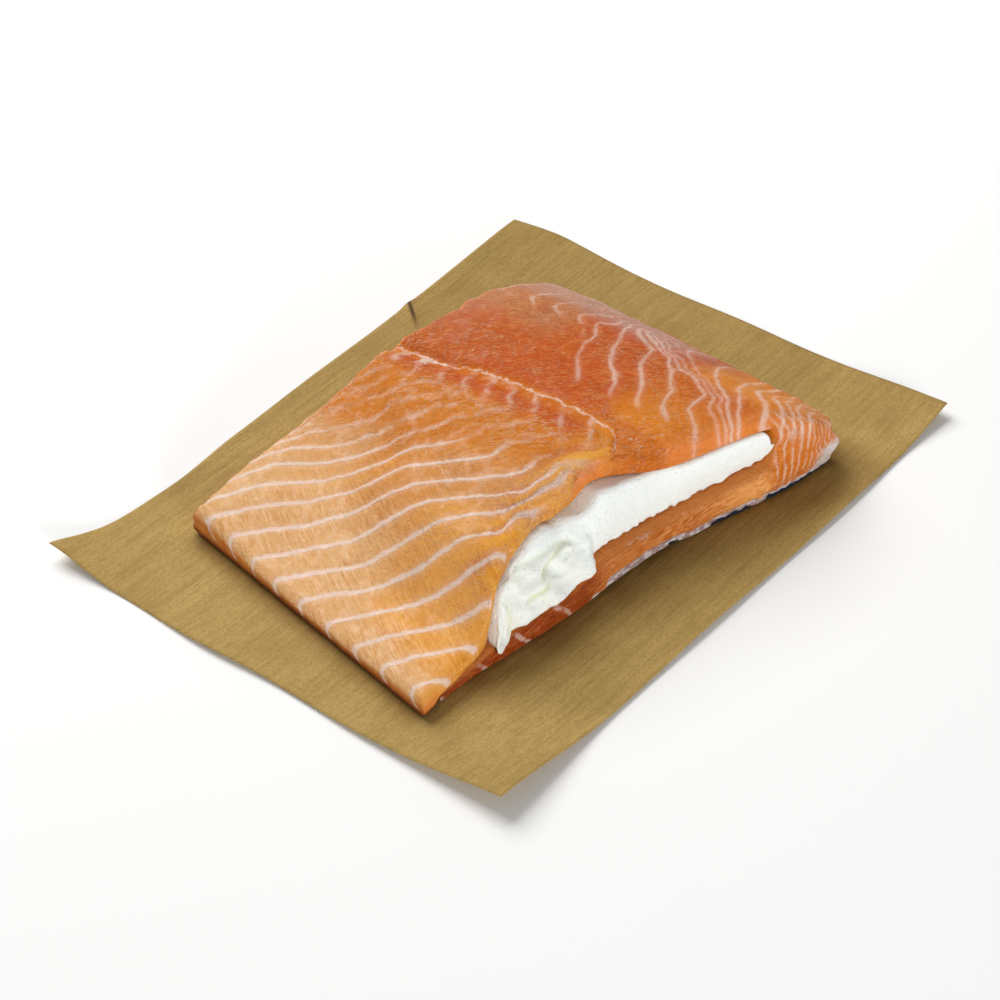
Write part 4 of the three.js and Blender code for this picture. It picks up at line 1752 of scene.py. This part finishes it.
    def write_short_lines(self, mesh: bpy.types.Mesh, grid: Grid) -> None:
        """Stores the cut right end's rings, the strokes on the cut leaf and rear, and the seam.

        Args:
            mesh: The fillet's mesh.
            grid: The fillet's points.
        """
        x, y, z = grid.x, grid.y, grid.z
        at_end = grid.front * smooth((x - 41) / 5)
        leaf_left = grid.leaf * smooth((-44 - x) / 4)
        where = (at_end > 0, leaf_left > 0)
        ring = (grid.ring + 1.3 * grain(grid.places, (9.0, 9.0, 7.0), 31)) / self.ring_gap
        layer = (z - 0.2 * np.abs(x - 5) + 2.5 * np.sin(x / 11)) / 7.0
        leaf_seam = grid.leaf * band(x, -20, 9, 4)
        bright = band(y, 25, 40, 4)
        seam_power = grid.top * mix(0.66, 1.0, bright) * smooth((y + 58) / 6)
        on_leaf = leaf_seam > 0
        numbers = {
            "short_number": np.select(where, (ring, (x + 0.9 * z + 46) / 19), layer),
            "short_gap": np.select(where, (self.ring_gap, 14.1), 6.6),
            "short_half": np.select(where, (0.36, 0.7), 0.5),
            "short_power": np.select(where, (0.52 * at_end, 0.5 * leaf_left), 0.45 * grid.rear),
            "seam_away": np.where(on_leaf, z - self.leaf_seam_z(x), x - self.lines.seam_x(y)),
            "seam_half": np.where(on_leaf, 0.6, mix(0.58, 1.0, bright)),
            "seam_power": np.where(on_leaf, 0.8 * leaf_seam, seam_power),
        }
        write_values(mesh, numbers)

    def loin_share(self, grid: Grid) -> Array:
        """Is 1 on the upper surface to the right of the seam."""
        return grid.top * smooth((grid.x - self.lines.seam_x(grid.y) - 0.2) / 2)

    def write_textures(self, mesh: bpy.types.Mesh, grid: Grid) -> None:
        """Stores where each texture shows.

        Args:
            mesh: The fillet's mesh.
            grid: The fillet's points.
        """
        x, y, z, top, upper, front, leaf = (
            grid.x, grid.y, grid.z, grid.top, grid.upper, grid.front, grid.leaf
        )
        loin = self.loin_share(grid)
        shoulder = top * band(x, 50, 76, 10) * band(y, -34, 48, 20)
        fibre = upper * smooth((-34 - 0.2 * y - x) / 14)
        back = loin * smooth((y - 22) / 18) * smooth((x - 4) / 16)
        # Where the painted glints show: on the flap near the lip, beside the seam and on the upper cut front
        sparkle = band(x, -86, -30, 10) * band(y, -56, -14, 12) + 0.85 * band(x, -46, -4, 10)
        sparkle = np.maximum(sparkle, 0.6 * front * smooth((x + 6) / 10)) * upper
        edge = upper * hump(grid.lip, 2.5, 6.0) * band(x, -70, -2, 10)
        shares = {
            "weave": loin * (1 - 0.7 * shoulder),
            "cut": leaf + front * upper * 0.6 + 0.8 * grid.rear,
            "film": shoulder + 0.3 * back + 0.45 * grid.wall,
            "ridges_and_glints": sparkle + 0.7 * loin * (1 - shoulder),
            "deep": loin * smooth((y + 50) / 20) + 0.5 * leaf + 0.25 * upper,
            "amber": edge + 0.15 * upper + 0.05 * loin + 0.3 * leaf,
        }
        write_values(mesh, {name: np.clip(share, 0, 1) for name, share in shares.items()})
        patches = band(x, -1, 4, 2) + band(x, 17, 35, 3) + band(x, 40, 84, 4) - 0.6
        numbers = {
            "fibre": fibre,
            "flow": top * band(x, -46, -2, 14) * (1 - fibre),
            "wet": upper * mix(0.22, 0.10, loin) + 0.2 * shoulder + 0.2 * leaf,
            "skin": np.where(grid.share < 0.44, self.skin_z(x) - z, -8.0),
            "navy": patches * 2 + np.clip(1.5 - z, -3, 1.0),
        }
        write_values(mesh, numbers)

    def write_flesh(self, mesh: bpy.types.Mesh, grid: Grid) -> None:
        """Stores the flesh's colours, one soft patch laid over the other, some of them painted light and
        shade.

        Args:
            mesh: The fillet's mesh.
            grid: The fillet's points.
        """
        x, y, z, lip, top, upper, front, leaf = (
            grid.x, grid.y, grid.z, grid.lip, grid.top, grid.upper, grid.front, grid.leaf
        )
        loin = self.loin_share(grid)
        colour = np.tile(under_sheen(self.flap_middle, TOP_LIGHT), (len(x), 1))
        tag = leaf * band(x, 63, 90, 5) * band(z, 0, 10, 3)
        facing = smooth((-grid.normals[:, 1] - 0.15) / 0.75) * (grid.along < 0.4)
        # Painted light: brighter orange on the flap's front slope and its rise, which face away from the key
        # lamp
        slope = upper * smooth((-6 - y) / 18) * smooth((x + 96 - 0.3 * y) / 14) * smooth((-52 - x) / 8)
        slope = np.maximum(slope, 0.8 * upper * hump(x, -46 - 0.55 * (y - 10), 9) * band(y, -30, 44, 8))
        at_lip = 0.8 * upper * band(x, -76, -12, 8)
        between = self.between(grid)
        # Painted shadow on the lower leaf's cut front, just under the cheese's ragged foot
        shade_under_cheese = leaf * smooth((z - self.cheese_z(x) + 2.2) / 1.2) * band(x, -84, 43, 2)
        sheen = 0.5 * leaf * hump(z, 13 + 0.06 * (x - 10), 2.6) * band(x, -2, 40, 8)
        side = upper * smooth((grid.drop - 1.2) / 2) * smooth((self.form.rim_x(y) + 9 - x) / 3)
        # How much each patch covers, its colour as seen and the light that falls there
        layers = (
            # Paler flesh towards the belly edge, partly the flesh's own colour and partly painted sheen
            (smooth((-58 - x + 0.3 * (y + 10)) / 24), self.flap_pale, TOP_LIGHT),
            (0.9 * slope, self.flap_slope_painted_light, TOP_LIGHT),
            (upper * smooth((x + 54 + 0.3 * y) / 20), self.pillow, TOP_LIGHT),
            (0.7 * upper * smooth((y - 12) / 18) * band(x, -84, -38, 12), self.flap_pale, TOP_LIGHT),
            (upper * hump(x, -8, 6) * band(y, -42, 44, 14), self.beside_seam, TOP_LIGHT),
            (loin, self.loin_dark, TOP_LIGHT),
            (0.9 * loin * smooth((y - 6) / 20) * smooth((30 - x) / 14), self.loin_rear, TOP_LIGHT),
            (loin * smooth((-38 - y + 0.3 * x) / 16), self.loin_front, TOP_LIGHT),
            (0.7 * upper * hump(x, 8, 20) * smooth((-30 - y) / 18), self.belly, TOP_LIGHT),
            (top * smooth((x - 38) / 14), self.loin_right, TOP_LIGHT),
            (top * smooth((x - 36) / 12) * smooth((-36 - y) / 18), self.loin_end, TOP_LIGHT),
            (top * smooth((y + 6) / 16) * smooth((x - 20) / 16), self.loin_back, TOP_LIGHT),
            (0.8 * upper * smooth((6 - lip) / 6) * band(x, -124, -4, 12), self.amber, TOP_LIGHT),
            # Painted highlight: a pale straw streak near the lip
            (0.9 * upper * hump(x, -25, 8) * hump(y + 0.2 * (x + 25), -48, 3.6), self.painted_straw_highlight, TOP_LIGHT),
            # Painted highlight on the lip's swellings between the fat lines, and painted shade in the dips
            # near the lines
            (at_lip * hump(lip, 4, 5) * smooth(0.5 + between), self.painted_lip_highlight, TOP_LIGHT),
            (0.6 * at_lip * hump(lip, 7, 7) * smooth(0.3 - between), self.beside_seam, TOP_LIGHT),
            (side, self.rim_side, TOP_LIGHT),
            # Painted contact shade low on the belly edge's side, where it meets the paper
            (side * smooth((5.0 - z) / 3.0) * 0.85, self.painted_contact_shade, TOP_LIGHT),
            (facing * upper * smooth((x + 34) / 6), self.strip, FRONT_LIGHT),
            # The lowered step before the flap's muscle ends takes the cut strip's darker orange, partly the
            # cut flesh's own colour and partly painted shade under the overhanging flap
            (self.step(grid), self.strip, TOP_LIGHT),
            (grid.lower, self.leaf, FRONT_LIGHT),
            (sheen, self.leaf_sheen, FRONT_LIGHT),
            # Painted shade: the lower leaf's cut front darker towards its left end
            (leaf * smooth((-28 - x) / 12), self.leaf_left, FRONT_LIGHT),
            (front * smooth((x - 8) / 30) * grid.lower, self.leaf_right, FRONT_LIGHT),
            (front * smooth((x - 38) / 8), self.end_cut, FRONT_LIGHT),
            (grid.rear, self.cut_rear, FRONT_LIGHT),
            (0.85 * shade_under_cheese, self.painted_contact_shade, FRONT_LIGHT),
            (tag, self.tag, FRONT_LIGHT),
        )
        for weight, shade, light in layers:
            own = under_sheen(shade, light) if light == TOP_LIGHT else seen(shade, light)
            colour = mix(colour, own, np.clip(weight, 0, 1)[:, None])
        write_colour(mesh, "flesh", colour)


@dataclass
class CheeseFilling:
    """The slab of soft cheese, with its crumbled lump at the belly end."""

    form: FishForm
    divisions: tuple[int, int, int] = (220, 70, 44)
    tip_share: float = 2 / 32
    cap_share: float = 2 / 13
    clear: float = 0.45
    left_round: float = 1.5
    top_round: float = 1.6
    low_round: float = 1.2
    rear_inset: float = 3.5
    front_start: float = -60.0
    rear_start: float = 45.0

    # Heights of the crumbled lump's upper border, and of the ragged edge that hangs below the slab
    border_z: Curve = Curve((-84, -60, -45, -37), (31, 27, 26, 23))
    hem_z: Curve = Curve(
        (-84.5, -82, -79, -76, -74, -72, -60, -40), (11, 6.5, 5.2, 5.4, 6.5, 10.5, 11, 14)
    )

    def foot_y(self, x: Array) -> Array:
        """Gives the cheese's front at its foot."""
        return self.form.foot_y(x) + mix(-0.6, 5.3, smooth((x + 37) / 7))

    def top_y(self, x: Array) -> Array:
        """Gives the cheese's front at its top.

        Args:
            x: Places across the fish.

        Returns:
            Its y.
        """
        lump = self.form.lip_y(x) - 2.2
        right = self.form.lip_y(x) - 0.6
        middle = mix(self.form.foot_y(x) + 8, right, smooth((x - 2) / 8))
        return mix(lump, middle, smooth((x + 40) / 12))

    def bumps(self, x: Array, h: Array) -> Array:
        """Gives how far the crumbled lump stands out.

        Args:
            x: Places across the fish.
            h: Shares of the cheese's height.

        Returns:
            Millimetres towards the front.
        """
        waves = 1.3 * np.sin(x / 3.1 + 4 * h) * np.sin(3.5 * h + x / 9)
        low = 0.15 + 0.85 * smooth((0.66 - h) / 0.2)
        return low * smooth((-30 - x) / 6) * (waves + 0.9 * hump(h, 0.45, 0.25) * np.sin(x / 5.3 + 1))

    def points(self, across: Array, along: Array, up: Array) -> tuple[Array, Array]:
        """Places grid points of the cheese.

        Args:
            across: Share from the belly side to the loin side.
            along: Share from front to rear.
            up: Share from bottom to top.

        Returns:
            One row of x, y and z for each point, and each point's share of the height.
        """
        form, tip = self.form, self.tip_share
        rows = Rows(along, self.cap_share)
        left_open, left_near = quarter_round(across / tip)
        right_turn = np.clip((1 - across) / tip, 0, 1) * QUARTER
        t = np.clip((across - tip) / (1 - 2 * tip), 0, 1)
        y = mix(self.front_start, self.rear_start, rows.body)
        for _ in range(SETTLING):
            left_end = (
                form.cheese_x(y) + 2.4 - 3.5 * smooth((-48 - y) / 10) + 1.6 * smooth((y - 20) / 25)
            )
            start = form.pocket_x(y)
            half = (form.roof(start, y) - form.floor(start, y)) / 2 - self.clear
            at_ends = (
                left_end + self.left_round * left_near,
                start + half * form.pocket_round * np.cos(right_turn),
            )
            middle = mix(left_end + self.left_round, start, t)
            x = np.select((across < tip, across > 1 - tip), at_ends, middle)
            x = x - 1.8 * up * smooth((x - 34) / 9)
            inside = np.minimum(x, start)
            roof_y = np.maximum(y, form.lip_y(inside) + 0.5)
            low = form.floor(inside, y) + self.clear
            high = form.roof(inside, roof_y) - self.clear - 0.7 * smooth((-50 - x) / 12)
            high = np.maximum(high, low + 1.2)
            thick = high - low
            tip_cut = np.where(
                across > 1 - tip,
                (thick / 2) * (1 - np.sin(right_turn)) * 0.985,
                np.minimum(self.left_round, 0.15 * thick) * left_open,
            )
            top_radius = np.minimum(self.top_round, 0.3 * thick)
            low_radius = np.minimum(self.low_round, 0.15 * thick)
            ends = rows.front_open + rows.rear_open
            room = 0.47 * thick
            height = mix(
                np.minimum(room, tip_cut + low_radius * ends),
                thick - np.minimum(room, tip_cut + top_radius * ends),
                up,
            )
            z = low + height
            h = height / thick
            full = np.minimum(1, thick / 9)
            bulge = 2.4 * h * (1 - h) + self.bumps(x, h)
            front = mix(self.foot_y(x), self.top_y(x), h * full) - full * bulge
            rear = form.rear_y(x) - self.rear_inset
            radius = mix(low_radius, top_radius, h)
            y = rows.spread(front, rear, radius, radius)
        return np.stack([x, y, z], axis=1), h

    def build(self, finish: CheeseFinish) -> bpy.types.Object:
        """Builds and dresses the cheese.

        Args:
            finish: The cheese finish.

        Returns:
            The piece.
        """
        piece, cells = grid_block("cheese_filling_dressed", self.divisions)
        places, h = self.points(cells[:, 0], cells[:, 1], cells[:, 2])
        write_points(piece.data, to_part(places))
        normals = read_normals(piece.data)
        x, y, z = places.T
        front = smooth((-normals[:, 1] - 0.1) / 0.4) * (cells[:, 1] < 0.4)
        border = self.border_z(x)
        lump = smooth((-36 - x) / 3) * smooth((border - z) / 2.5)
        crumbs = 0.30 * layered(places, 4.0, 11)
        knobs = 1.3 * (0.45 - np.abs(grain(places, (6.5, 6.0, 5.0), 12)))
        ragged = smooth((0.18 - h) / 0.16) * (0.7 * grain(places, (1.5, 5.0, 5.0), 14) - 0.1)
        first = hump(z, 17.7 + 0.10 * (x + 60), 0.9) * band(x, -65, -55, 5)
        second = hump(z, 23.0 + 0.30 * (x + 50), 1.0) * band(x, -57, -42, 5)
        third = hump(x, -73 + 0.15 * (z - 15), 0.9) * band(z, 9, 20, 5)
        crease = np.maximum(np.maximum(first, second), 0.7 * third)
        # A shallow groove along the lump's upper border, with painted shade in it
        out = 1.1 * hump(z, border, 1.2) * smooth((-36 - x) / 3)
        move = crumbs * mix(0.5, 1.0, lump) + lump * knobs - 0.6 * out - 1.0 * crease * lump
        move = (move + ragged * (1 - lump)) * front
        places = places + normals * move[:, None]
        hang = np.maximum(self.form.floor(x, y) + self.clear - self.hem_z(x), 0)
        hang *= band(x, -90, -66, 6)
        low = smooth((0.6 - h) / 0.6)
        places[:, 2] -= hang * front * low
        places[:, 1] -= 0.5 * smooth(hang / 2) * front * low
        write_points(piece.data, to_part(places))
        cream = 0.28 * lump + 0.2 * smooth((0.3 - h) / 0.3) * (1 - lump)
        roof = self.form.roof(np.minimum(x, 40), np.maximum(y, self.form.lip_y(x)))
        numbers = {
            "cream": np.clip(cream * front, 0, 1),
            # Yellow in the lump's creases, and painted shade along its upper border
            "crease_yellow_and_border_shade": np.clip(0.50 * crease * lump + 0.22 * out * front, 0, 1),
            # Painted shade, a faint cream tint, where the cheese lies close under the salmon's lip
            "shaded": 0.06 * hump(np.maximum(roof - z, 0), 0, 2.6) * band(x, -56, 20, 10),
        }
        write_values(piece.data, numbers)
        piece.data.materials.append(finish.build())
        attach(piece, "root")
        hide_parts("cheese_filling")
        return piece


@dataclass(frozen=True)
class Corner:
    """One corner of the paper: its sides, how far it lifts and how far in that reaches."""

    side_x: int
    side_y: int
    lift: float
    reach: float


@dataclass
class PaperSheet:
    """The sheet of brown paper, curled at its corners, in the part's own frame."""

    fish: FishForm
    long: float = 256.0
    wide: float = 200.0
    thick: float = 0.4
    edge_wave: float = 0.9
    side_margin: float = 14.0
    end_margin: float = 12.0
    side_lift: float = 0.9
    side_reach: float = 17.0
    pleat_height: float = 0.8
    pleat_x: float = 60.5
    pleat_slant: float = 0.78
    pleat_spread: float = 3.5
    pleat_reach: float = 24.0
    divisions: tuple[int, int, int] = (200, 156, 1)
    corners: tuple[Corner, ...] = (
        Corner(-1, 1, 5.5, 40),
        Corner(-1, -1, 6.5, 60),
        Corner(1, -1, 4.2, 50),
        Corner(1, 1, 4.5, 60),
    )

    # The sheet's torn sides
    left: Curve = Curve(
        (-100, -78, -45, -3, 27, 64, 100),
        (-127.4, -127.8, -128, -126.6, -127.6, -125.8, -125.5),
    )
    right: Curve = Curve((-100, -60, 0, 40, 75, 100), (124.5, 126.8, 126.6, 127.4, 128, 124.5))
    near: Curve = Curve((-128, -100, -20, 45, 128), (-100, -99.8, -99.4, -100, -98))
    far: Curve = Curve(
        (-128, -104, -72, -40, 20, 58, 90, 128), (98.5, 94.6, 93, 95.6, 97.4, 99.2, 100, 99.6)
    )

    def painted_shade(self, x: Array, y: Array) -> Array:
        """Gives the painted shade on the paper at places in the fish's frame, just outside the fish.

        Args:
            x: Places across the fish.
            y: Places from front to rear.

        Returns:
            Shares from no painted shade, 0, to full painted shade, 1.
        """
        # Painted shade: the fish's shadow before its cut front and beside its belly edge, a dark contact
        # line where it meets the paper, and darker towards the rear corner on the loin side
        front, side = self.fish.foot_y(x) - y, self.fish.rim_x(y) - x
        along = smooth((front + 16) / 8) * band(x, -96, 84, 16)
        across = smooth((side + 16) / 8) * band(y, -56, 62, 10)
        before = smooth((26 - front) / 24) * along
        beside = smooth((9 - side) / 8) * across
        near = np.maximum(smooth((3 - side) / 2.5) * across, smooth((3 - front) / 2.5) * along)
        far = 0.22 * smooth((x + 0.6 * y - 30) / 60)
        return np.maximum(np.maximum(0.72 * before, 0.7 * beside), np.maximum(far, near * 0.95))

    def pleat_away(self, x: Array, y: Array) -> Array:
        """Gives the way from the small pleat on the far side."""
        return x - self.pleat_slant * (y - self.wide / 2) - self.pleat_x

    def height(self, x: Array, y: Array) -> Array:
        """Gives the height of the paper's underside.

        Args:
            x: Places along the sheet, in millimetres.
            y: Places across the sheet, in millimetres.

        Returns:
            Heights over the floor, in millimetres.
        """
        half_x, half_y = self.long / 2, self.wide / 2
        z = 0 * x
        for corner in self.corners:
            away = np.hypot(x - corner.side_x * half_x, y - corner.side_y * half_y) / corner.reach
            z = z + corner.lift * smooth(1 - away) ** 1.5
        side = smooth((np.abs(x) - (half_x - self.side_margin)) / self.side_margin)
        end = smooth((np.abs(y) - (half_y - self.end_margin)) / self.end_margin)
        inward = np.minimum(x + half_x, y + half_y) / self.side_reach
        fade = smooth((half_x - 20 - x) / 60) * smooth((half_y - 20 - y) / 60)
        z += self.side_lift * smooth(1 - inward) * fade
        z += self.edge_wave * side * (0.5 + 0.5 * np.sin(y / 11 + np.where(x > 0, 2, 0)))
        z += self.edge_wave * end * (0.5 + 0.5 * np.sin(x / 13 + np.where(y > 0, 1, 3)))
        pleat = self.pleat_height * hump(self.pleat_away(x, y), 0, self.pleat_spread)
        return z + pleat * smooth((y - (half_y - self.pleat_reach)) / self.pleat_reach)

    def build(self, finish: PaperFinish) -> bpy.types.Object:
        """Builds and dresses the paper.

        Args:
            finish: The paper finish.

        Returns:
            The piece.
        """
        piece, cells = grid_block("paper_sheet_dressed", self.divisions)
        a, b, c = cells.T
        flat_x, flat_y = self.long * (a - 0.5), self.wide * (b - 0.5)
        x = mix(self.left(flat_y), self.right(flat_y), a)
        y = mix(self.near(flat_x), self.far(flat_x), b)
        places = np.stack([x, y, self.height(x, y) + self.thick * c], axis=1)
        write_points(piece.data, places * METRE)
        numbers = {
            # Where the painted shade along the pleat's crease lies, and how strong it is
            "crease_away": self.pleat_away(x, y) - 1.0,
            "crease_shade_power": smooth((y - 84) / 10),
            "painted_shade": self.painted_shade(x - FISH_SHIFT[0], y - FISH_SHIFT[1]),
        }
        write_values(piece.data, numbers)
        piece.data.materials.append(finish.build())
        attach(piece, "root")
        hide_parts("paper_sheet")
        return piece


# Studio


@dataclass(frozen=True)
class Lamp:
    """A soft square lamp: its place and side in metres, power in watts and colour."""

    name: str
    place: tuple[float, float, float]
    side: float
    power: float
    colour: Rgb


@dataclass
class Studio:
    """The pale floor, soft light and camera."""

    floor_size: float = 8.0
    floor_tone: float = 0.97
    ambient: float = 0.25
    room_colour: Rgb = (0.96, 0.98, 1.0)
    lamps: tuple[Lamp, ...] = (
        Lamp("key", (0.30, 1.02, 1.20), 1.2, 27.5, (1.0, 0.99, 0.97)),
        Lamp("front fill", (-0.66, -1.43, 0.34), 0.5, 15.5, (1.0, 1.0, 1.0)),
    )
    camera_place: tuple[float, float, float] = (-0.593507, -0.502668, 0.616336)
    camera_right: tuple[float, float, float] = (0.63313856, -0.77354633, -0.02759795)
    camera_down: tuple[float, float, float] = (-0.49781266, -0.37963336, -0.7797827)
    camera_forward: tuple[float, float, float] = (0.59272094, 0.5074491, -0.62544168)
    lens: float = 103.0016
    sensor: float = 36.0

    def build(self) -> None:
        """Builds floor, world, lamps and camera."""
        self.build_floor()
        self.build_world()
        for lamp in self.lamps:
            self.add_lamp(lamp)
        self.build_camera()

    def build_floor(self) -> None:
        """Builds the plain pale floor."""
        bm = bmesh.new()
        bmesh.ops.create_grid(bm, x_segments=2, y_segments=2, size=self.floor_size / 2)
        mesh = bpy.data.meshes.new("floor")
        bm.to_mesh(mesh)
        bm.free()
        floor = bpy.data.objects.new("floor", mesh)
        bpy.context.scene.collection.objects.link(floor)
        material, _, shader = new_material("pale floor")
        tone = self.floor_tone
        shader.inputs["Base Color"].default_value = (tone, tone, tone, 1.0)
        shader.inputs["Roughness"].default_value = 0.9
        shader.inputs["Specular IOR Level"].default_value = 0.0
        mesh.materials.append(material)
        floor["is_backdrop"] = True

    def build_world(self) -> None:
        """Builds even white light from all round."""
        world = bpy.data.worlds.new("soft room")
        world.use_nodes = True
        backdrop = world.node_tree.nodes["Background"]
        backdrop.inputs[0].default_value = (*self.room_colour, 1.0)
        backdrop.inputs[1].default_value = self.ambient
        bpy.context.scene.world = world
        bpy.context.scene.view_settings.view_transform = "Standard"

    def add_lamp(self, lamp: Lamp) -> None:
        """Adds a lamp that faces the parcel.

        Args:
            lamp: The lamp's measures.
        """
        light = bpy.data.lights.new(lamp.name, "AREA")
        light.shape = "SQUARE"
        light.size = lamp.side
        light.energy = lamp.power
        light.color = lamp.colour
        piece = bpy.data.objects.new(lamp.name, light)
        bpy.context.scene.collection.objects.link(piece)
        forward = -np.asarray(lamp.place) / np.linalg.norm(lamp.place)
        right = np.cross(forward, (0.0, 0.0, 1.0))
        right /= np.linalg.norm(right)
        upward = np.cross(right, forward)
        turn = Matrix(np.stack([right, upward, -forward], axis=1).tolist()).to_4x4()
        piece.matrix_world = Matrix.Translation(lamp.place) @ turn

    def build_camera(self) -> None:
        """Builds the camera at the photograph's viewing angle."""
        lens = bpy.data.cameras.new("camera")
        lens.sensor_width = self.sensor
        lens.lens = self.lens
        camera = bpy.data.objects.new("camera", lens)
        bpy.context.scene.collection.objects.link(camera)
        axes = np.stack(
            [self.camera_right, -np.asarray(self.camera_down), -np.asarray(self.camera_forward)],
            axis=1,
        )
        camera.matrix_world = (
            Matrix.Translation(self.camera_place) @ Matrix(axes.tolist()).to_4x4()
        )
        bpy.context.scene.camera = camera


def corners() -> list[list[float]]:
    """Gives the shown object's lowest and highest corner as plain lists."""
    return [list(corner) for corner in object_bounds()]


def main() -> None:
    """Builds every piece."""
    logging.basicConfig(level=logging.INFO, format="%(name)s: %(message)s")
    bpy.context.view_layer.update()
    effects = Effects()
    form = FishForm()
    for builder, finish in (
        (PaperSheet(form), PaperFinish(effects)),
        (CheeseFilling(form), CheeseFinish(effects)),
        (SalmonFillet(form, FatLines(form)), FleshFinish(effects)),
    ):
        piece = builder.build(finish)
        LOG.info("%s: %d faces", piece.name, len(piece.data.polygons))
    Studio().build()
    LOG.info("studio: floor, light and camera")


if __name__ == "__main__":
    main()
